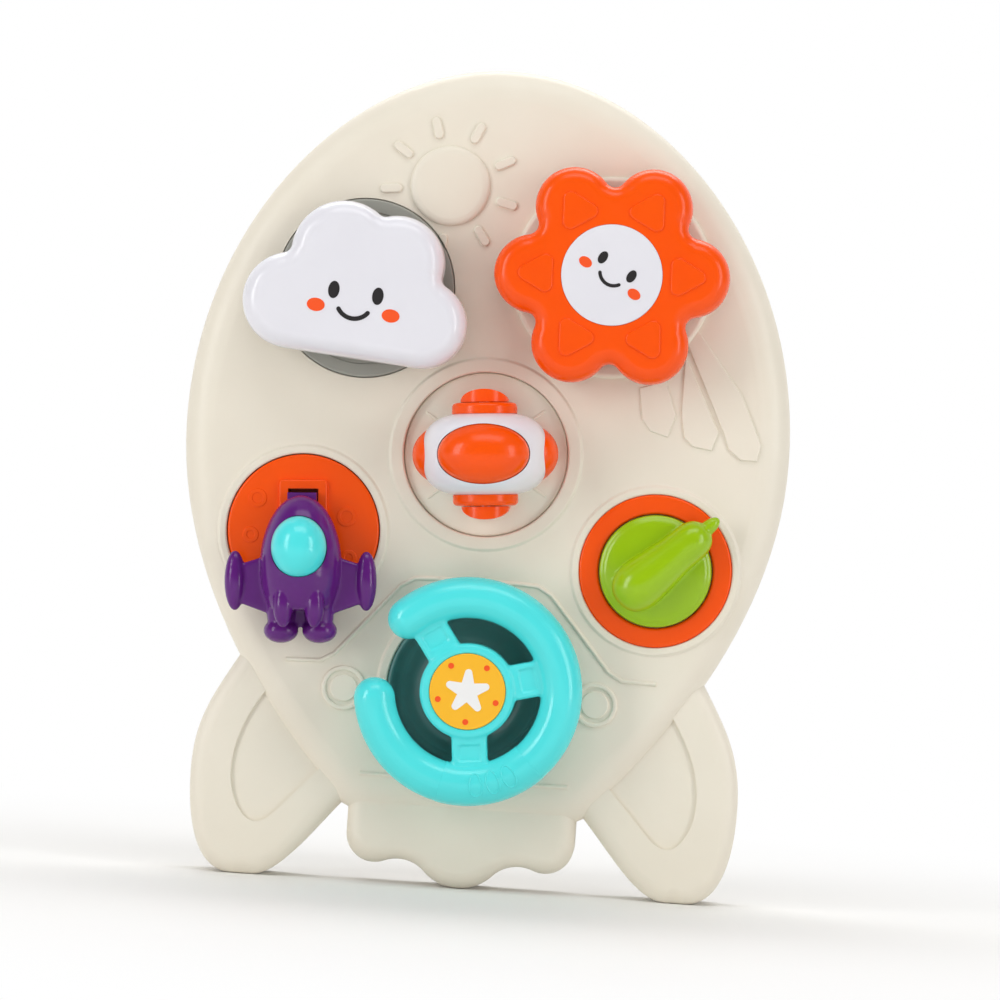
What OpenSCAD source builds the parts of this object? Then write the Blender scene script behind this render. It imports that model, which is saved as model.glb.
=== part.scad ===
// Free-standing toddler busy board in the shape of a rocket, with six hand activities on its front.
// Everything is drawn in the panel's own frame: x to the right, y up the board, z out of the panel
// towards the child, with z = 0 on the flat back. stand() then sets the board upright on its feet.

/* [Board] */
// Overall height, from the feet to the nose
board_h = 359; // [350:1:370]
// Width of the egg-shaped body
body_w = 265; // [260:1:275]
// Height of the widest point of the body
widest_h = 197; // [192:1:202]
// Thickness of the body, from the flat back to the panel face
body_t = 38; // [37:0.5:42]
// Height of the body's flat lower edge above the feet
chin_h = 31; // [29:1:33]
// Width of the body's lower edge, measured to its sharp corners
chin_w = 102; // [98:1:108]
// Lean of the body's lower sides from the vertical, at the lower edge
taper_deg = 44; // [41:0.5:46]
// Corner radius at the lower edge of the body
corner_r = 8; // [6:0.5:10]
// Width of the rounded front edge of the body
edge_w = 14; // [11:0.5:17]
// Depth of the rounded front edge of the body
edge_drop = 11; // [8:0.5:12]
// Wall of the front shell
wall = 2.4; // [2.2:0.1:2.8]
// Thickness of the back cover
cover_t = 4; // [3.4:0.1:4.4]
// Gap between the back cover and the shell around it
cover_gap = 0.2; // [0.1:0.05:0.4]

/* [Fins and flame] */
// Thickness of the fins
fin_t = 34; // [32:0.5:35]
// How far the fins' widest point lies inside the body's widest point
fin_in = 12.2; // [9.5:0.5:15]
// Height at which the fins are widest
fin_wide_h = 43; // [40:1:46]
// How far the middle of each foot lies inside the body's widest point
foot_in = 37.5; // [35:0.5:40]
// Length of the flat under each foot
foot_flat = 9; // [6:0.5:12]
// Rounding of the fins' front edge
fin_edge = 4; // [3:0.5:5]
// Rounding of the flame's front edge
flame_edge = 5.6; // [5:0.2:6.4]
// Distance of the sunk panel in each fin from the fin's outline
fin_panel_inset = 17; // [15:0.5:19]
// Thickness of the flame
flame_t = 35; // [33:0.5:36]
// Radius of the flame's middle lobe
flame_mid_r = 21; // [19:0.5:22]
// Radius of the flame's side lobes
flame_side_r = 12.5; // [11.5:0.5:13.5]
// Distance of the side lobes from the middle
flame_side_x = 37.5; // [36:0.5:39]
// Lowest point of the side lobes
flame_side_h = 9; // [8:0.5:11]

/* [Bearings and screws] */
// Radius of the journals behind the activities
journal_r = 8; // [7:0.1:8.6]
// Radial running clearance of a journal
journal_gap = 0.08; // [0.04:0.01:0.1]
// End float of a turning part
end_float = 0.3; // [0.2:0.05:0.4]
// Length of a bearing boss behind the panel
boss_len = 8; // [6:0.5:9]
// Radius of the retaining washers
washer_r = 11.5; // [11:0.1:12.5]
// Thickness of the retaining washers
washer_t = 1.6; // [1.4:0.1:1.8]
// Radius of the screws
screw_r = 1.7; // [1.5:0.1:1.8]
// Radius of the screw heads
screw_head_r = 3.5; // [3.2:0.1:3.8]
// Height of the screw heads
screw_head_t = 2.1; // [1.8:0.1:2.2]

/* [Cloud] */
// Place of the cloud's axis across the board
cloud_x = -57.4; // [-60:0.2:-56]
// Place of the cloud's axis up the board
cloud_y = 259.7; // [258:0.2:262]
// Radius of the grey turntable
table_r = 39; // [38:0.5:40]
// Thickness of the turntable
table_t = 3.2; // [2.8:0.1:3.6]
// How far the turntable's seat is sunk into the panel
table_sink = 3; // [2.5:0.1:3.5]
// Clear height between the panel and the cloud
cloud_lift = 9; // [7:0.5:11]
// Thickness of the cloud
cloud_t = 22; // [20:0.5:24]
// Wall of the hollow cloud and flower
toy_wall = 2; // [1.8:0.1:2.4]
// How far the cloud is turned, anticlockwise
cloud_turn = -5; // [-180:1:180]

/* [Flower] */
// Place of the flower's axis across the board
flower_x = 50.2; // [49:0.2:52]
// Place of the flower's axis up the board
flower_y = 271.3; // [270:0.2:273]
// Radius of a petal's tip
petal_r = 17; // [16:0.2:17.6]
// Distance of a petal's centre from the axis
petal_pitch = 34.1; // [33:0.2:35]
// Radius of the hollow between two petals
petal_hollow = 4.6; // [4:0.2:5.4]
// Thickness of the flower
flower_t = 20; // [18:0.5:22]
// Height of the round plinth under the flower
plinth_h = 3; // [2.5:0.1:4]
// Radius of the plinth under the flower
plinth_r = 44; // [42:0.5:45]
// Clear height between the plinth and the flower
flower_lift = 5; // [4:0.5:7]
// Radius of the white disc on the flower
face_r = 21.9; // [21:0.1:23]
// How far the flower is turned, anticlockwise
flower_turn = 2; // [-180:1:180]

/* [Roller] */
// Place of the roller's dish across the board
roller_x = 0.2; // [-1:0.2:1]
// Place of the roller's dish up the board
roller_y = 190.6; // [190:0.2:191]
// Largest radius of the white barrel
barrel_r = 27.2; // [26.6:0.2:27.8]
// Length of the white barrel
barrel_len = 36; // [34:0.5:38]
// How far the orange domes stand out of the barrel
dome_rise = 5.4; // [4.8:0.1:5.8]
// Half the height of a dome along the barrel
dome_r = 13.9; // [13.5:0.1:14.2]
// Half the width of a dome across the barrel
dome_half = 20.6; // [20:0.1:21.2]
// Radius of the end caps' flanges
cap_r = 14.2; // [13.5:0.1:15]
// Thickness of the end caps' flanges
cap_t = 4.4; // [4:0.1:5]
// Radius of the yoke arms' round ends
arm_r = 10.5; // [9.5:0.1:11]
// Thickness of the yoke arms
arm_t = 5.6; // [5:0.1:6]
// Radius of the roller's axle
axle_r = 2.5; // [2:0.1:3]
// Inner radius of the roller's round opening in the panel
dish_r = 35.9; // [35.5:0.1:37]
// Depth of the roller's floor below the panel
dish_depth = 5; // [4.6:0.1:6]
// How far the roller's yoke is turned, anticlockwise
roller_turn = 4.5; // [-180:0.5:180]

/* [Plane lever] */
// Place of the plane's disc across the board
plane_x = -77.3; // [-78.5:0.1:-77]
// Place of the plane's disc up the board
plane_y = 152.2; // [151.8:0.1:153]
// Radius of the orange disc
plane_disc_r = 33.2; // [32.6:0.1:33.6]
// How deep the disc is sunk into the panel
plane_sink = 13; // [12:0.5:14]
// Width of the slot in the disc
slot_w = 13.3; // [12.5:0.1:14]
// Radius of the hinge pin
pin_r = 2; // [1.8:0.1:2.2]
// Largest radius of the plane's hull
hull_r = 17.8; // [17.2:0.1:18.2]
// Clear height between the panel and the plane
plane_lift = 11; // [10.5:0.5:12.5]
// How far the disc and plane are turned, anticlockwise
plane_turn = 3.5; // [-180:0.5:180]

/* [Knob] */
// Place of the knob across the board
knob_x = 77.5; // [76:0.5:79]
// Place of the knob up the board
knob_y = 144.8; // [143:0.2:146]
// Outer radius of the orange bezel
bezel_r = 33.4; // [32.5:0.1:34]
// Radius of the green disc
knob_r = 24.5; // [23.5:0.1:25]
// Height of the green disc above the panel
knob_h = 7; // [6:0.5:8]
// Largest radius of the pear-shaped grip
pear_r = 11; // [10:0.2:12]
// How far the grip is turned, anticlockwise from the right
knob_turn = 43.5; // [-180:0.5:180]

/* [Steering wheel] */
// Place of the wheel across the board
wheel_x = 0; // [-1:0.2:1]
// Place of the wheel up the board
wheel_y = 87.5; // [86.5:0.2:88]
// Radius of the middle of the rim's tube
rim_r = 40.7; // [40:0.1:41]
// Radius of the rim's tube
tube_r = 9; // [8.6:0.1:9.3]
// Radius of the hub
hub_r = 20.9; // [20:0.1:22]
// Thickness of the hub
hub_t = 16; // [14:0.5:18]
// Width of the spokes
spoke_w = 15.5; // [14:0.5:17]
// Thickness of the spokes
spoke_t = 8; // [7:0.5:9]
// Radius of the round badge in the hub
badge_r = 16.6; // [16:0.1:17.5]
// Clear height between the panel and the rim
wheel_lift = 8; // [7:0.5:10]
// Radius of the smoky dish under the wheel
smoke_r = 36.2; // [35.8:0.1:37]
// How deep the smoky dish is sunk into the panel
smoke_sink = 15; // [14:0.5:16]

/* [Hidden] */
$fn = 72;

// Small steps: sinks one solid into another, and lets a cut pass clear of a face
sink = 0.5;
pass = 1;
// Gap between pieces that are fitted together and do not move
fit = 0.1;
// Gap between pieces that move past each other
run = 0.4;

// Seats: the height of the face on which each turning part rides
face = body_t;
screw_room = 1.5;
boss_wall = 3.2;
roller_floor = 3;
lowest_boss = cover_t + screw_room + screw_head_t + washer_t + end_float;
cloud_seat = face - table_sink;
flower_seat = face + plinth_h;
roller_seat = lowest_boss + roller_floor;
plane_seat = face - plane_sink;
bezel_sink = 3.5;
knob_seat = face - bezel_sink;
wheel_seat = face - smoke_sink;
function boss_end(seat) = max(lowest_boss, seat - wall - boss_len);
function journal_end(seat) = boss_end(seat) - end_float;

// Heights of the activities above the back
cloud_z = face + cloud_lift;
flower_z = flower_seat + flower_lift;
dish_floor = 2;
dish_top = roller_seat + end_float + dish_floor;
barrel_clear = 0.6;
axle_z = dish_top + barrel_clear + barrel_r + dome_rise;
plane_z = face + plane_lift;
hull_axis_z = plane_z + 3;
canopy_rise = 13.5;
canopy_r = 12;
rim_z = face + wheel_lift + tube_r;
hub_z = rim_z - tube_r - 1.5;
pear_z = face + knob_h + 2;

// The frame's middle lies halfway between the back and the piece that reaches out furthest
depth = max([cloud_z + cloud_t, flower_z + flower_t, axle_z + barrel_r + dome_rise,
  hull_axis_z + canopy_rise + canopy_r, rim_z + tube_r, hub_z + hub_t, pear_z + pear_r]);

cream = "#E3DCCB";
white = "#F1F0F3";
orange = "#F5600F";
purple = "#5F2A8C";
turquoise = "#43D7DC";
green = "#97BF0D";
grey = "#A9A79C";
smoke = "#34484A";
steel = "#B9BDC1";
yellow = "#FFC02E";

// Curves and lofts
function bez(a, b, c, d, t) = pow(1 - t, 3) * a + 3 * pow(1 - t, 2) * t * b
  + 3 * (1 - t) * t * t * c + pow(t, 3) * d;
function bez_run(a, b, c, d, n) = [for (i = [0:n - 1]) bez(a, b, c, d, i / n)];
function polar(r, a) = [r * cos(a), r * sin(a)];

// Right side of the body from the nose to the middle of the chin, drawn in by d
nose_full = 0.51;
side_full = 0.56;
belly_pull = 74;
chin_pull = 36;
round_pull = 0.55;
nose_steps = 18;
belly_steps = 12;
corner_steps = 4;
function body_side(d) = let (
  top = [0, board_h - d],
  wide = [body_w / 2 - d, widest_h],
  corner = [chin_w / 2 - d * (1 / cos(taper_deg) - tan(taper_deg)), chin_h + d],
  along = [sin(taper_deg), cos(taper_deg)],
  start = corner + corner_r * along,
  end = corner - [corner_r, 0])
  concat(
    bez_run(top, top + [nose_full * wide.x, 0],
      wide + [0, side_full * (top.y - wide.y)], wide, nose_steps),
    bez_run(wide, wide - [0, belly_pull], start + chin_pull * along, start, belly_steps),
    bez_run(start, start - round_pull * corner_r * along, end + [round_pull * corner_r, 0], end,
      corner_steps),
    [end]);
function both_sides(side) = concat([for (p = side) [-p.x, p.y]],
  [for (i = [len(side) - 1:-1:1]) side[i]]);
function body_outline(d) = both_sides(body_side(d));

// Right fin, anticlockwise from its inner end, drawn in by d; its inner end lies inside the body
half_w = body_w / 2;
half_chin = chin_w / 2;
fin_x = half_w - fin_in;
foot_x = half_w - foot_in;
fin_top = [half_w - 33.5, 101];
fin_root = [half_chin - 3.5, chin_h + 9.5];
fin_core = [half_chin + 5, 78];
// Ways in which the fin's corners go as its outline is drawn in
fin_root_in = [0.76, 0.65];
fin_top_in = [-0.87, -0.5];
fin_toe_in = [0.25, 1];
fin_heel_in = [-0.2, 1];
// Pulls of the fin's curves at their ends
root_pull = [16, -16];
toe_pull = [-14, 1];
heel_pull = [17, 0];
wide_pull = [[0, -19], [0, 24]];
top_pull = [14, -24];
fin_steps = 9;
function fin_outline(d) = let (
  root = fin_root + d * fin_root_in,
  toe = [foot_x - foot_flat / 2, 0] + d * fin_toe_in,
  heel = [foot_x + foot_flat / 2, 0] + d * fin_heel_in,
  wide = [fin_x - d, fin_wide_h],
  top = fin_top + d * fin_top_in)
  concat(
    bez_run(root, root + root_pull, toe + toe_pull, toe, fin_steps),
    [toe],
    bez_run(heel, heel + heel_pull, wide + wide_pull[0], wide, fin_steps),
    bez_run(wide, wide + wide_pull[1], top + top_pull, top, fin_steps),
    [top, fin_core]);

// Lobed outlines: lobes are [x, y, radius], anticlockwise, and each hollow between two lobes is an arc
// of radius f that touches both; drawn in by d, a lobe shrinks and a hollow grows by d about its own centre
function heading(p, q) = atan2(q.y - p.y, q.x - p.x);
function arc(c, r, from, to, n) = [for (i = [0:n]) [c.x, c.y] + polar(r, from + (to - from) * i / n)];
function hollow_at(p, q, f) = let (
  span = [q.x - p.x, q.y - p.y],
  way = span / norm(span),
  reach = ((p.z + f) * (p.z + f) - (q.z + f) * (q.z + f) + span * span) / (2 * norm(span)))
  [p.x, p.y] + reach * way + sqrt((p.z + f) * (p.z + f) - reach * reach) * [way.y, -way.x];
function lobe_arc(before, p, after, d, n) = let (
  from = heading(p, before),
  to = heading(p, after))
  arc(p, p.z - d, from, to < from ? to + 360 : to, n);
// The ends of a hollow are left out, because the lobes on its two sides have them
function hollow_arc(p, q, f, d, n) = let (
  c = hollow_at(p, q, f),
  from = heading(c, p),
  to = heading(c, q),
  points = arc(c, f + d, from, to > from ? to - 360 : to, n))
  [for (i = [1:n - 1]) points[i]];
lobe_steps = 10;
hollow_steps = 4;

// Flame, closed by a straight top that lies inside the body
flame_hollow = 7;
flame_top = 12;
function flame_outline(d) = let (
  mid = [0, flame_mid_r, flame_mid_r],
  right = [flame_side_x, flame_side_h + flame_side_r, flame_side_r],
  left = [-right.x, right.y, right.z],
  half_w = flame_side_x + flame_side_r - d,
  top = chin_h + flame_top)
  concat([[-half_w, top]],
    lobe_arc(left - [1, 0, 0], left, hollow_at(left, mid, flame_hollow), d, lobe_steps),
    hollow_arc(left, mid, flame_hollow, d, hollow_steps),
    lobe_arc(hollow_at(left, mid, flame_hollow), mid, hollow_at(mid, right, flame_hollow), d, lobe_steps),
    hollow_arc(mid, right, flame_hollow, d, hollow_steps),
    lobe_arc(hollow_at(mid, right, flame_hollow), right, right + [1, 0, 0], d, lobe_steps),
    [[half_w, top]]);

// Rounded front edge as steps of height and inset: the wall's foot first, then a quarter of an ellipse
function edge_steps(foot, t, inset, w, drop, n) = concat([[foot, inset]],
  [for (k = [0:n]) [t - drop * (1 - sin(90 * k / n)), inset + w * (1 - cos(90 * k / n))]]);

// Solid through a stack of anticlockwise outlines that all have the same number of points. Each end is closed
// by a fan round the hub, a point from which the whole outline can be seen.
module loft(rings, heights, hub) {
  n = len(rings[0]);
  top = len(rings) - 1;
  hubs = [for (z = [heights[0], heights[top]]) [hub.x, hub.y, z]];
  points = concat([for (j = [0:top]) for (p = rings[j]) [p.x, p.y, heights[j]]], hubs);
  sides = [for (j = [0:top - 1]) for (i = [0:n - 1]) let (k = (i + 1) % n)
    each [[j * n + i, (j + 1) * n + i, (j + 1) * n + k], [j * n + i, (j + 1) * n + k, j * n + k]]];
  ends = [for (i = [0:n - 1]) let (k = (i + 1) % n)
    each [[(top + 1) * n, i, k], [(top + 1) * n + 1, top * n + k, top * n + i]]];
  polyhedron(points, concat(sides, ends));
}
fin_hub = [foot_x - 15, 55];
module body_form(steps) loft([for (s = steps) body_outline(s[1])], [for (s = steps) s[0]], [0, widest_h]);
module fin_form(steps) loft([for (s = steps) fin_outline(s[1])], [for (s = steps) s[0]], fin_hub);
module flame_form(steps) loft([for (s = steps) flame_outline(s[1])], [for (s = steps) s[0]],
  [0, chin_h + flame_top - 1]);

// Upright on the feet, front towards -Y, middle of the depth on the XZ plane
module stand() rotate([90, 0, 0]) translate([0, 0, -depth / 2]) children();
module at(x, y, turn = 0) translate([x, y, 0]) rotate(turn) children();
module pair() {
  children();
  mirror([1, 0, 0]) children();
}

// Cylinder between two heights
module rod(r, z0, z1) translate([0, 0, z0]) cylinder(r = r, h = z1 - z0);
// Disc with a rounded front edge
module puck(r, z0, z1, e) translate([0, 0, z0]) rotate_extrude() union() {
  square([r, z1 - z0 - e]);
  square([r - e, z1 - z0]);
  translate([r - e, z1 - z0 - e]) circle(e);
}
// Low ring with rounded edges on a flat face
module bead_ring(r_in, r_out, z0, z1, e) translate([0, 0, z0]) rotate_extrude() translate([r_in, 0]) union() {
  square([r_out - r_in, z1 - z0 - e]);
  translate([e, 0]) square([r_out - r_in - 2 * e, z1 - z0]);
  translate([e, z1 - z0 - e]) circle(e);
  translate([r_out - r_in - e, z1 - z0 - e]) circle(e);
}
// Flat bar with round ends from p to q
bar_steps = 6;
function bar_outline(p, q, w) = let (a = heading(p, q))
  concat(arc(q, w / 2, a - 90, a + 90, bar_steps), arc(p, w / 2, a + 90, a + 270, bar_steps));
module bar(p, q, w, z0, z1) translate([0, 0, z0]) linear_extrude(z1 - z0) polygon(bar_outline(p, q, w));
// Half of a ball, flat towards -y
module half_ball(r) rotate_extrude(angle = 180) intersection() {
  circle(r);
  translate([0, -r]) square([r, 2 * r]);
}
// Body of revolution about the y axis at height z, from points of radius and place along the axis
module turned(points, z) translate([0, 0, z]) rotate([-90, 0, 0]) rotate_extrude() polygon(points);

// Blocks above and below a height, that cut a turned piece flat
cut_w = 120;
module above(z) translate([-cut_w / 2, -cut_w / 2, z]) cube([cut_w, cut_w, cut_w]);
module below(z) above(z - cut_w);

// Bearing parts that every activity has
module washer(seat) color(steel) difference() {
  rod(washer_r, journal_end(seat) - washer_t, journal_end(seat));
  rod(screw_r + fit, journal_end(seat) - washer_t - pass, journal_end(seat) + pass);
}
module centre_screw(seat, tip) color(steel) union() {
  under = journal_end(seat) - washer_t;
  rod(screw_head_r, under - screw_head_t, under);
  rod(screw_r, under - sink, tip);
}
module screw_hole(seat, tip) rod(screw_r + fit / 2, journal_end(seat) - washer_t - pass, tip);
module journal(seat, top) rod(journal_r, journal_end(seat), top);

// Screw posts for the back cover: each place and the thickness of the housing there
post_r = 4.4;
pilot_r = 1.3;
pilot_len = 12;
cover_screw_r = 1.5;
side_posts = [[half_w - 20.5, 222], [half_w - 44.5, 93], [half_chin - 13, chin_h + 13]];
body_posts = concat([[0, board_h - 21]], side_posts, [for (p = side_posts) [-p.x, p.y]]);
fin_post = [foot_x + 6, 42];
flame_post = [0, 20];
cover_posts = concat(body_posts, [fin_post, [-fin_post.x, fin_post.y], flame_post]);
module post(at, t) translate([at.x, at.y, 0]) rod(post_r, cover_t, t - wall / 2);
module post_pilot(at) translate([at.x, at.y, 0]) rod(pilot_r, cover_t - pass, cover_t + pilot_len);

// Housing
module body_block() body_form(edge_steps(0, body_t, 0, edge_w, edge_drop, 7));
module body_hollow() body_form(edge_steps(-pass, body_t - wall, wall, edge_w - wall, edge_drop - wall / 2,
  3));
// The back cover runs on into the fins and the flame, so the body's wall leaves room for it there
module cover_way() translate([0, 0, -pass]) linear_extrude(pass + cover_t + cover_gap) union() {
  pair() polygon(fin_outline(wall));
  polygon(flame_outline(wall));
}
// Round well in the panel with a bearing boss behind it
module well_outside(x, y, r, seat) at(x, y) {
  rod(r + wall, seat - wall, face - sink);
  boss_outside(seat);
}
module boss_outside(seat) rod(journal_r + boss_wall, boss_end(seat), seat - sink);
module well_inside(x, y, r, seat) at(x, y) {
  rod(r, seat, face + plinth_h + pass);
  bore(seat);
}
module bore(seat) rod(journal_r + journal_gap, boss_end(seat) - pass, seat + pass);

// Embossed pattern of the panel
emboss = 1;
line_w = 1.8;
line_rise = 0.7;
bead_edge = 0.7;
ring_edge = 0.9;
plinth_edge = 2;
sun_at = [-23.3, board_h - 52.3];
sun_r = 17.5;
sun_rise = 2.4;
sun_edge = 2;
ray_from = [sun_r + 5.5, 0];
ray_to = [sun_r + 11.3, 0];
ray_w = 4;
rays = 9;
ray_turn = 106;
module sun() at(sun_at.x, sun_at.y) {
  puck(sun_r, face - sink, face + sun_rise, sun_edge);
  for (k = [1:rays]) rotate(ray_turn + 360 * k / rays)
    bar(ray_from, ray_to, ray_w, face - sink, face + emboss);
}
module comet_tail() {
  bands = [[[65, 224], [67, 211], [71, 205.5], [79, 203.3], [82, 213.5], [76.5, 228]],
    [[84, 213.5], [86, 203.7], [90, 200], [98.5, 198.8], [101, 207], [84, 240]],
    [[103, 207], [105.5, 200], [111, 195.5], [118.5, 195.5], [120, 202.5], [110, 224], [88, 252], [84, 246]]];
  for (b = bands) translate([0, 0, face - sink]) linear_extrude(sink + emboss) polygon(b);
}
module dash_lines() {
  line = [[-81, 95.5], [-66, 96], [-60, 99.5], [-33, 131], [-27, 134.6], [27, 134.6], [33, 131], [60, 99.5],
    [66, 96], [81, 95.5]];
  for (i = [0:len(line) - 2]) bar(line[i], line[i + 1], line_w, face - sink, face + line_rise);
  pair() bar([30, 48], [45.5, 48], line_w, face - sink, face + line_rise);
}
gauge_at = [55, 84.7];
gauge_ring = [7.9, 9.7];
gauge_r = 6.4;
module gauges() pair() at(gauge_at.x, gauge_at.y) {
  bead_ring(gauge_ring[0], gauge_ring[1], face - sink, face + emboss, bead_edge);
  puck(gauge_r, face - sink, face + emboss, bead_edge);
}
plane_ring_r = 37.2;
knob_ring_r = 37;
roller_ring_r = 42;
wheel_ring_r = 40.5;
ring_rise = 1.2;
module seat_rings() {
  at(plane_x, plane_y) bead_ring(plane_disc_r + run, plane_ring_r, face - sink, face + ring_rise, ring_edge);
  at(knob_x, knob_y) bead_ring(bezel_r + fit, knob_ring_r, face - sink, face + ring_rise, ring_edge);
  at(roller_x, roller_y) bead_ring(dish_r, roller_ring_r, face - sink, face + ring_rise, ring_edge);
  at(wheel_x, wheel_y) bead_ring(smoke_r + fit, wheel_ring_r, face - sink, face + ring_rise, ring_edge);
  at(flower_x, flower_y) puck(plinth_r, face - sink, flower_seat, plinth_edge);
}

module front_shell() color(cream) stand() difference() {
  union() {
    difference() {
      body_block();
      body_hollow();
      cover_way();
    }
    well_outside(cloud_x, cloud_y, table_r + run, cloud_seat);
    well_outside(roller_x, roller_y, dish_r, roller_seat);
    well_outside(plane_x, plane_y, plane_disc_r + run, plane_seat);
    well_outside(knob_x, knob_y, bezel_r + fit, knob_seat);
    well_outside(wheel_x, wheel_y, smoke_r + fit, wheel_seat);
    at(flower_x, flower_y) boss_outside(flower_seat);
    for (p = body_posts) post(p, body_t);
    seat_rings();
    sun();
    comet_tail();
    dash_lines();
    gauges();
  }
  well_inside(cloud_x, cloud_y, table_r + run, cloud_seat);
  well_inside(roller_x, roller_y, dish_r, roller_seat);
  well_inside(plane_x, plane_y, plane_disc_r + run, plane_seat);
  well_inside(knob_x, knob_y, bezel_r + fit, knob_seat);
  well_inside(wheel_x, wheel_y, smoke_r + fit, wheel_seat);
  at(flower_x, flower_y) bore(flower_seat);
  for (p = body_posts) post_pilot(p);
}

// Fins and flame: hollow mouldings that close against the body and are held by the back cover's screws
panel_gap = 4;
module fin() difference() {
  union() {
    difference() {
      fin_form(edge_steps(0, fin_t, 0, fin_edge, fin_edge, 4));
      fin_form(edge_steps(-pass, fin_t - wall, wall, fin_edge, fin_edge, 1));
    }
    post(fin_post, fin_t);
  }
  body_block();
  post_pilot(fin_post);
  translate([0, 0, fin_t - emboss]) linear_extrude(emboss + pass) difference() {
    polygon(fin_outline(fin_panel_inset));
    polygon(body_outline(-panel_gap));
  }
}
module fin_right() color(cream) stand() fin();
module fin_left() color(cream) stand() mirror([1, 0, 0]) fin();
module flame() color(cream) stand() difference() {
  union() {
    difference() {
      flame_form(edge_steps(0, flame_t, 0, flame_edge, flame_edge, 5));
      flame_form(edge_steps(-pass, flame_t - wall, wall, flame_edge - wall, flame_edge, 2));
    }
    post(flame_post, flame_t);
  }
  body_block();
  post_pilot(flame_post);
}

// Back of the housing
lip_h = 6;
lip_t = 1.8;
module cover_plan(d) {
  polygon(body_outline(d));
  pair() polygon(fin_outline(d));
  polygon(flame_outline(d));
}
module back_cover() color(cream) stand() difference() {
  union() {
    linear_extrude(cover_t) cover_plan(wall + cover_gap);
    translate([0, 0, cover_t - sink]) linear_extrude(sink + lip_h) difference() {
      polygon(body_outline(wall + 2 * cover_gap));
      polygon(body_outline(wall + 2 * cover_gap + lip_t));
    }
  }
  for (p = cover_posts) translate([p.x, p.y, 0]) {
    rod(cover_screw_r + fit, -pass, cover_t + pass);
    rod(screw_head_r + fit, -pass, screw_head_t);
  }
}
module cover_screws() color(steel) stand() for (p = cover_posts) translate([p.x, p.y, 0]) union() {
  rod(screw_head_r, 0.2, screw_head_t);
  rod(pilot_r - fit / 2, screw_head_t - sink, cover_t + pilot_len - pass);
}

// Cloud: lobes as [x, y, radius] about the turntable's axis, and the height of its flat underside
cloud_floor = -31.6;
cloud_left = [-29.8, cloud_floor + 20.8, 20.8];
cloud_right = [28, cloud_floor + 19.2, 19.2];
cloud_crest = [13.5, 12.2, 20.3];
cloud_crown = [-9.9, 12.6, 22.9];
cloud_hollow = 4;
cloud_edge = 7;
cloud_post_r = 5;
plate_t = 2.2;
function cloud_outline(d) = let (
  f = cloud_hollow,
  under = [0, -1, 0],
  right_hollow = hollow_at(cloud_right, cloud_crest, f),
  top_hollow = hollow_at(cloud_crest, cloud_crown, f),
  left_hollow = hollow_at(cloud_crown, cloud_left, f))
  concat(
    lobe_arc(left_hollow, cloud_left, cloud_left + under, d, lobe_steps),
    lobe_arc(cloud_right + under, cloud_right, right_hollow, d, lobe_steps),
    hollow_arc(cloud_right, cloud_crest, f, d, hollow_steps),
    lobe_arc(right_hollow, cloud_crest, top_hollow, d, lobe_steps),
    hollow_arc(cloud_crest, cloud_crown, f, d, hollow_steps),
    lobe_arc(top_hollow, cloud_crown, left_hollow, d, lobe_steps),
    hollow_arc(cloud_crown, cloud_left, f, d, hollow_steps));
cloud_hub = [0, -6];
module cloud_form(steps) loft([for (s = steps) cloud_outline(s[1])], [for (s = steps) s[0]], cloud_hub);
cloud_tip = cloud_z + cloud_t - toy_wall - 2;
module cloud_spot() stand() at(cloud_x, cloud_y, cloud_turn) children();
module cloud_shell() color(white) cloud_spot() difference() {
  union() {
    difference() {
      cloud_form(edge_steps(cloud_z, cloud_z + cloud_t, 0, cloud_edge, cloud_edge, 5));
      cloud_form(edge_steps(cloud_z - pass, cloud_z + cloud_t - toy_wall, toy_wall, cloud_edge,
        cloud_edge, 2));
    }
    rod(cloud_post_r, cloud_z + plate_t, cloud_z + cloud_t - toy_wall / 2);
  }
  screw_hole(cloud_seat, cloud_tip + fit);
}
module cloud_back() color(white) cloud_spot() difference() {
  translate([0, 0, cloud_z]) linear_extrude(plate_t) polygon(cloud_outline(toy_wall + fit));
  screw_hole(cloud_seat, cloud_z + plate_t + pass);
}
stem_r = 14;
module cloud_turntable() color(grey) cloud_spot() difference() {
  union() {
    puck(table_r, cloud_seat + end_float, cloud_seat + end_float + table_t, 1);
    rod(stem_r, cloud_seat + end_float, cloud_z);
    journal(cloud_seat, cloud_seat + end_float + table_t / 2);
  }
  screw_hole(cloud_seat, cloud_z + pass);
}
module cloud_washer() cloud_spot() washer(cloud_seat);
module cloud_screw() cloud_spot() centre_screw(cloud_seat, cloud_tip);

// Flower
flower_edge = 6;
flower_post_r = 5;
face_t = 1.6;
face_recess = 1.2;
leaf_side = 9.4;
leaf_at = 32.6;
leaf_depth = 0.8;
flower_front = 2.8;
petal_turn = 60;
function petal(k) = concat(polar(petal_pitch, petal_turn * k), [petal_r]);
function flower_outline(d) = [for (k = [0:5]) each concat(
  lobe_arc(hollow_at(petal(k - 1), petal(k), petal_hollow), petal(k),
    hollow_at(petal(k), petal(k + 1), petal_hollow),
    d, lobe_steps),
  hollow_arc(petal(k), petal(k + 1), petal_hollow, d, hollow_steps))];
module flower_form(steps) loft([for (s = steps) flower_outline(s[1])], [for (s = steps) s[0]], [0, 0]);
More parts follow.
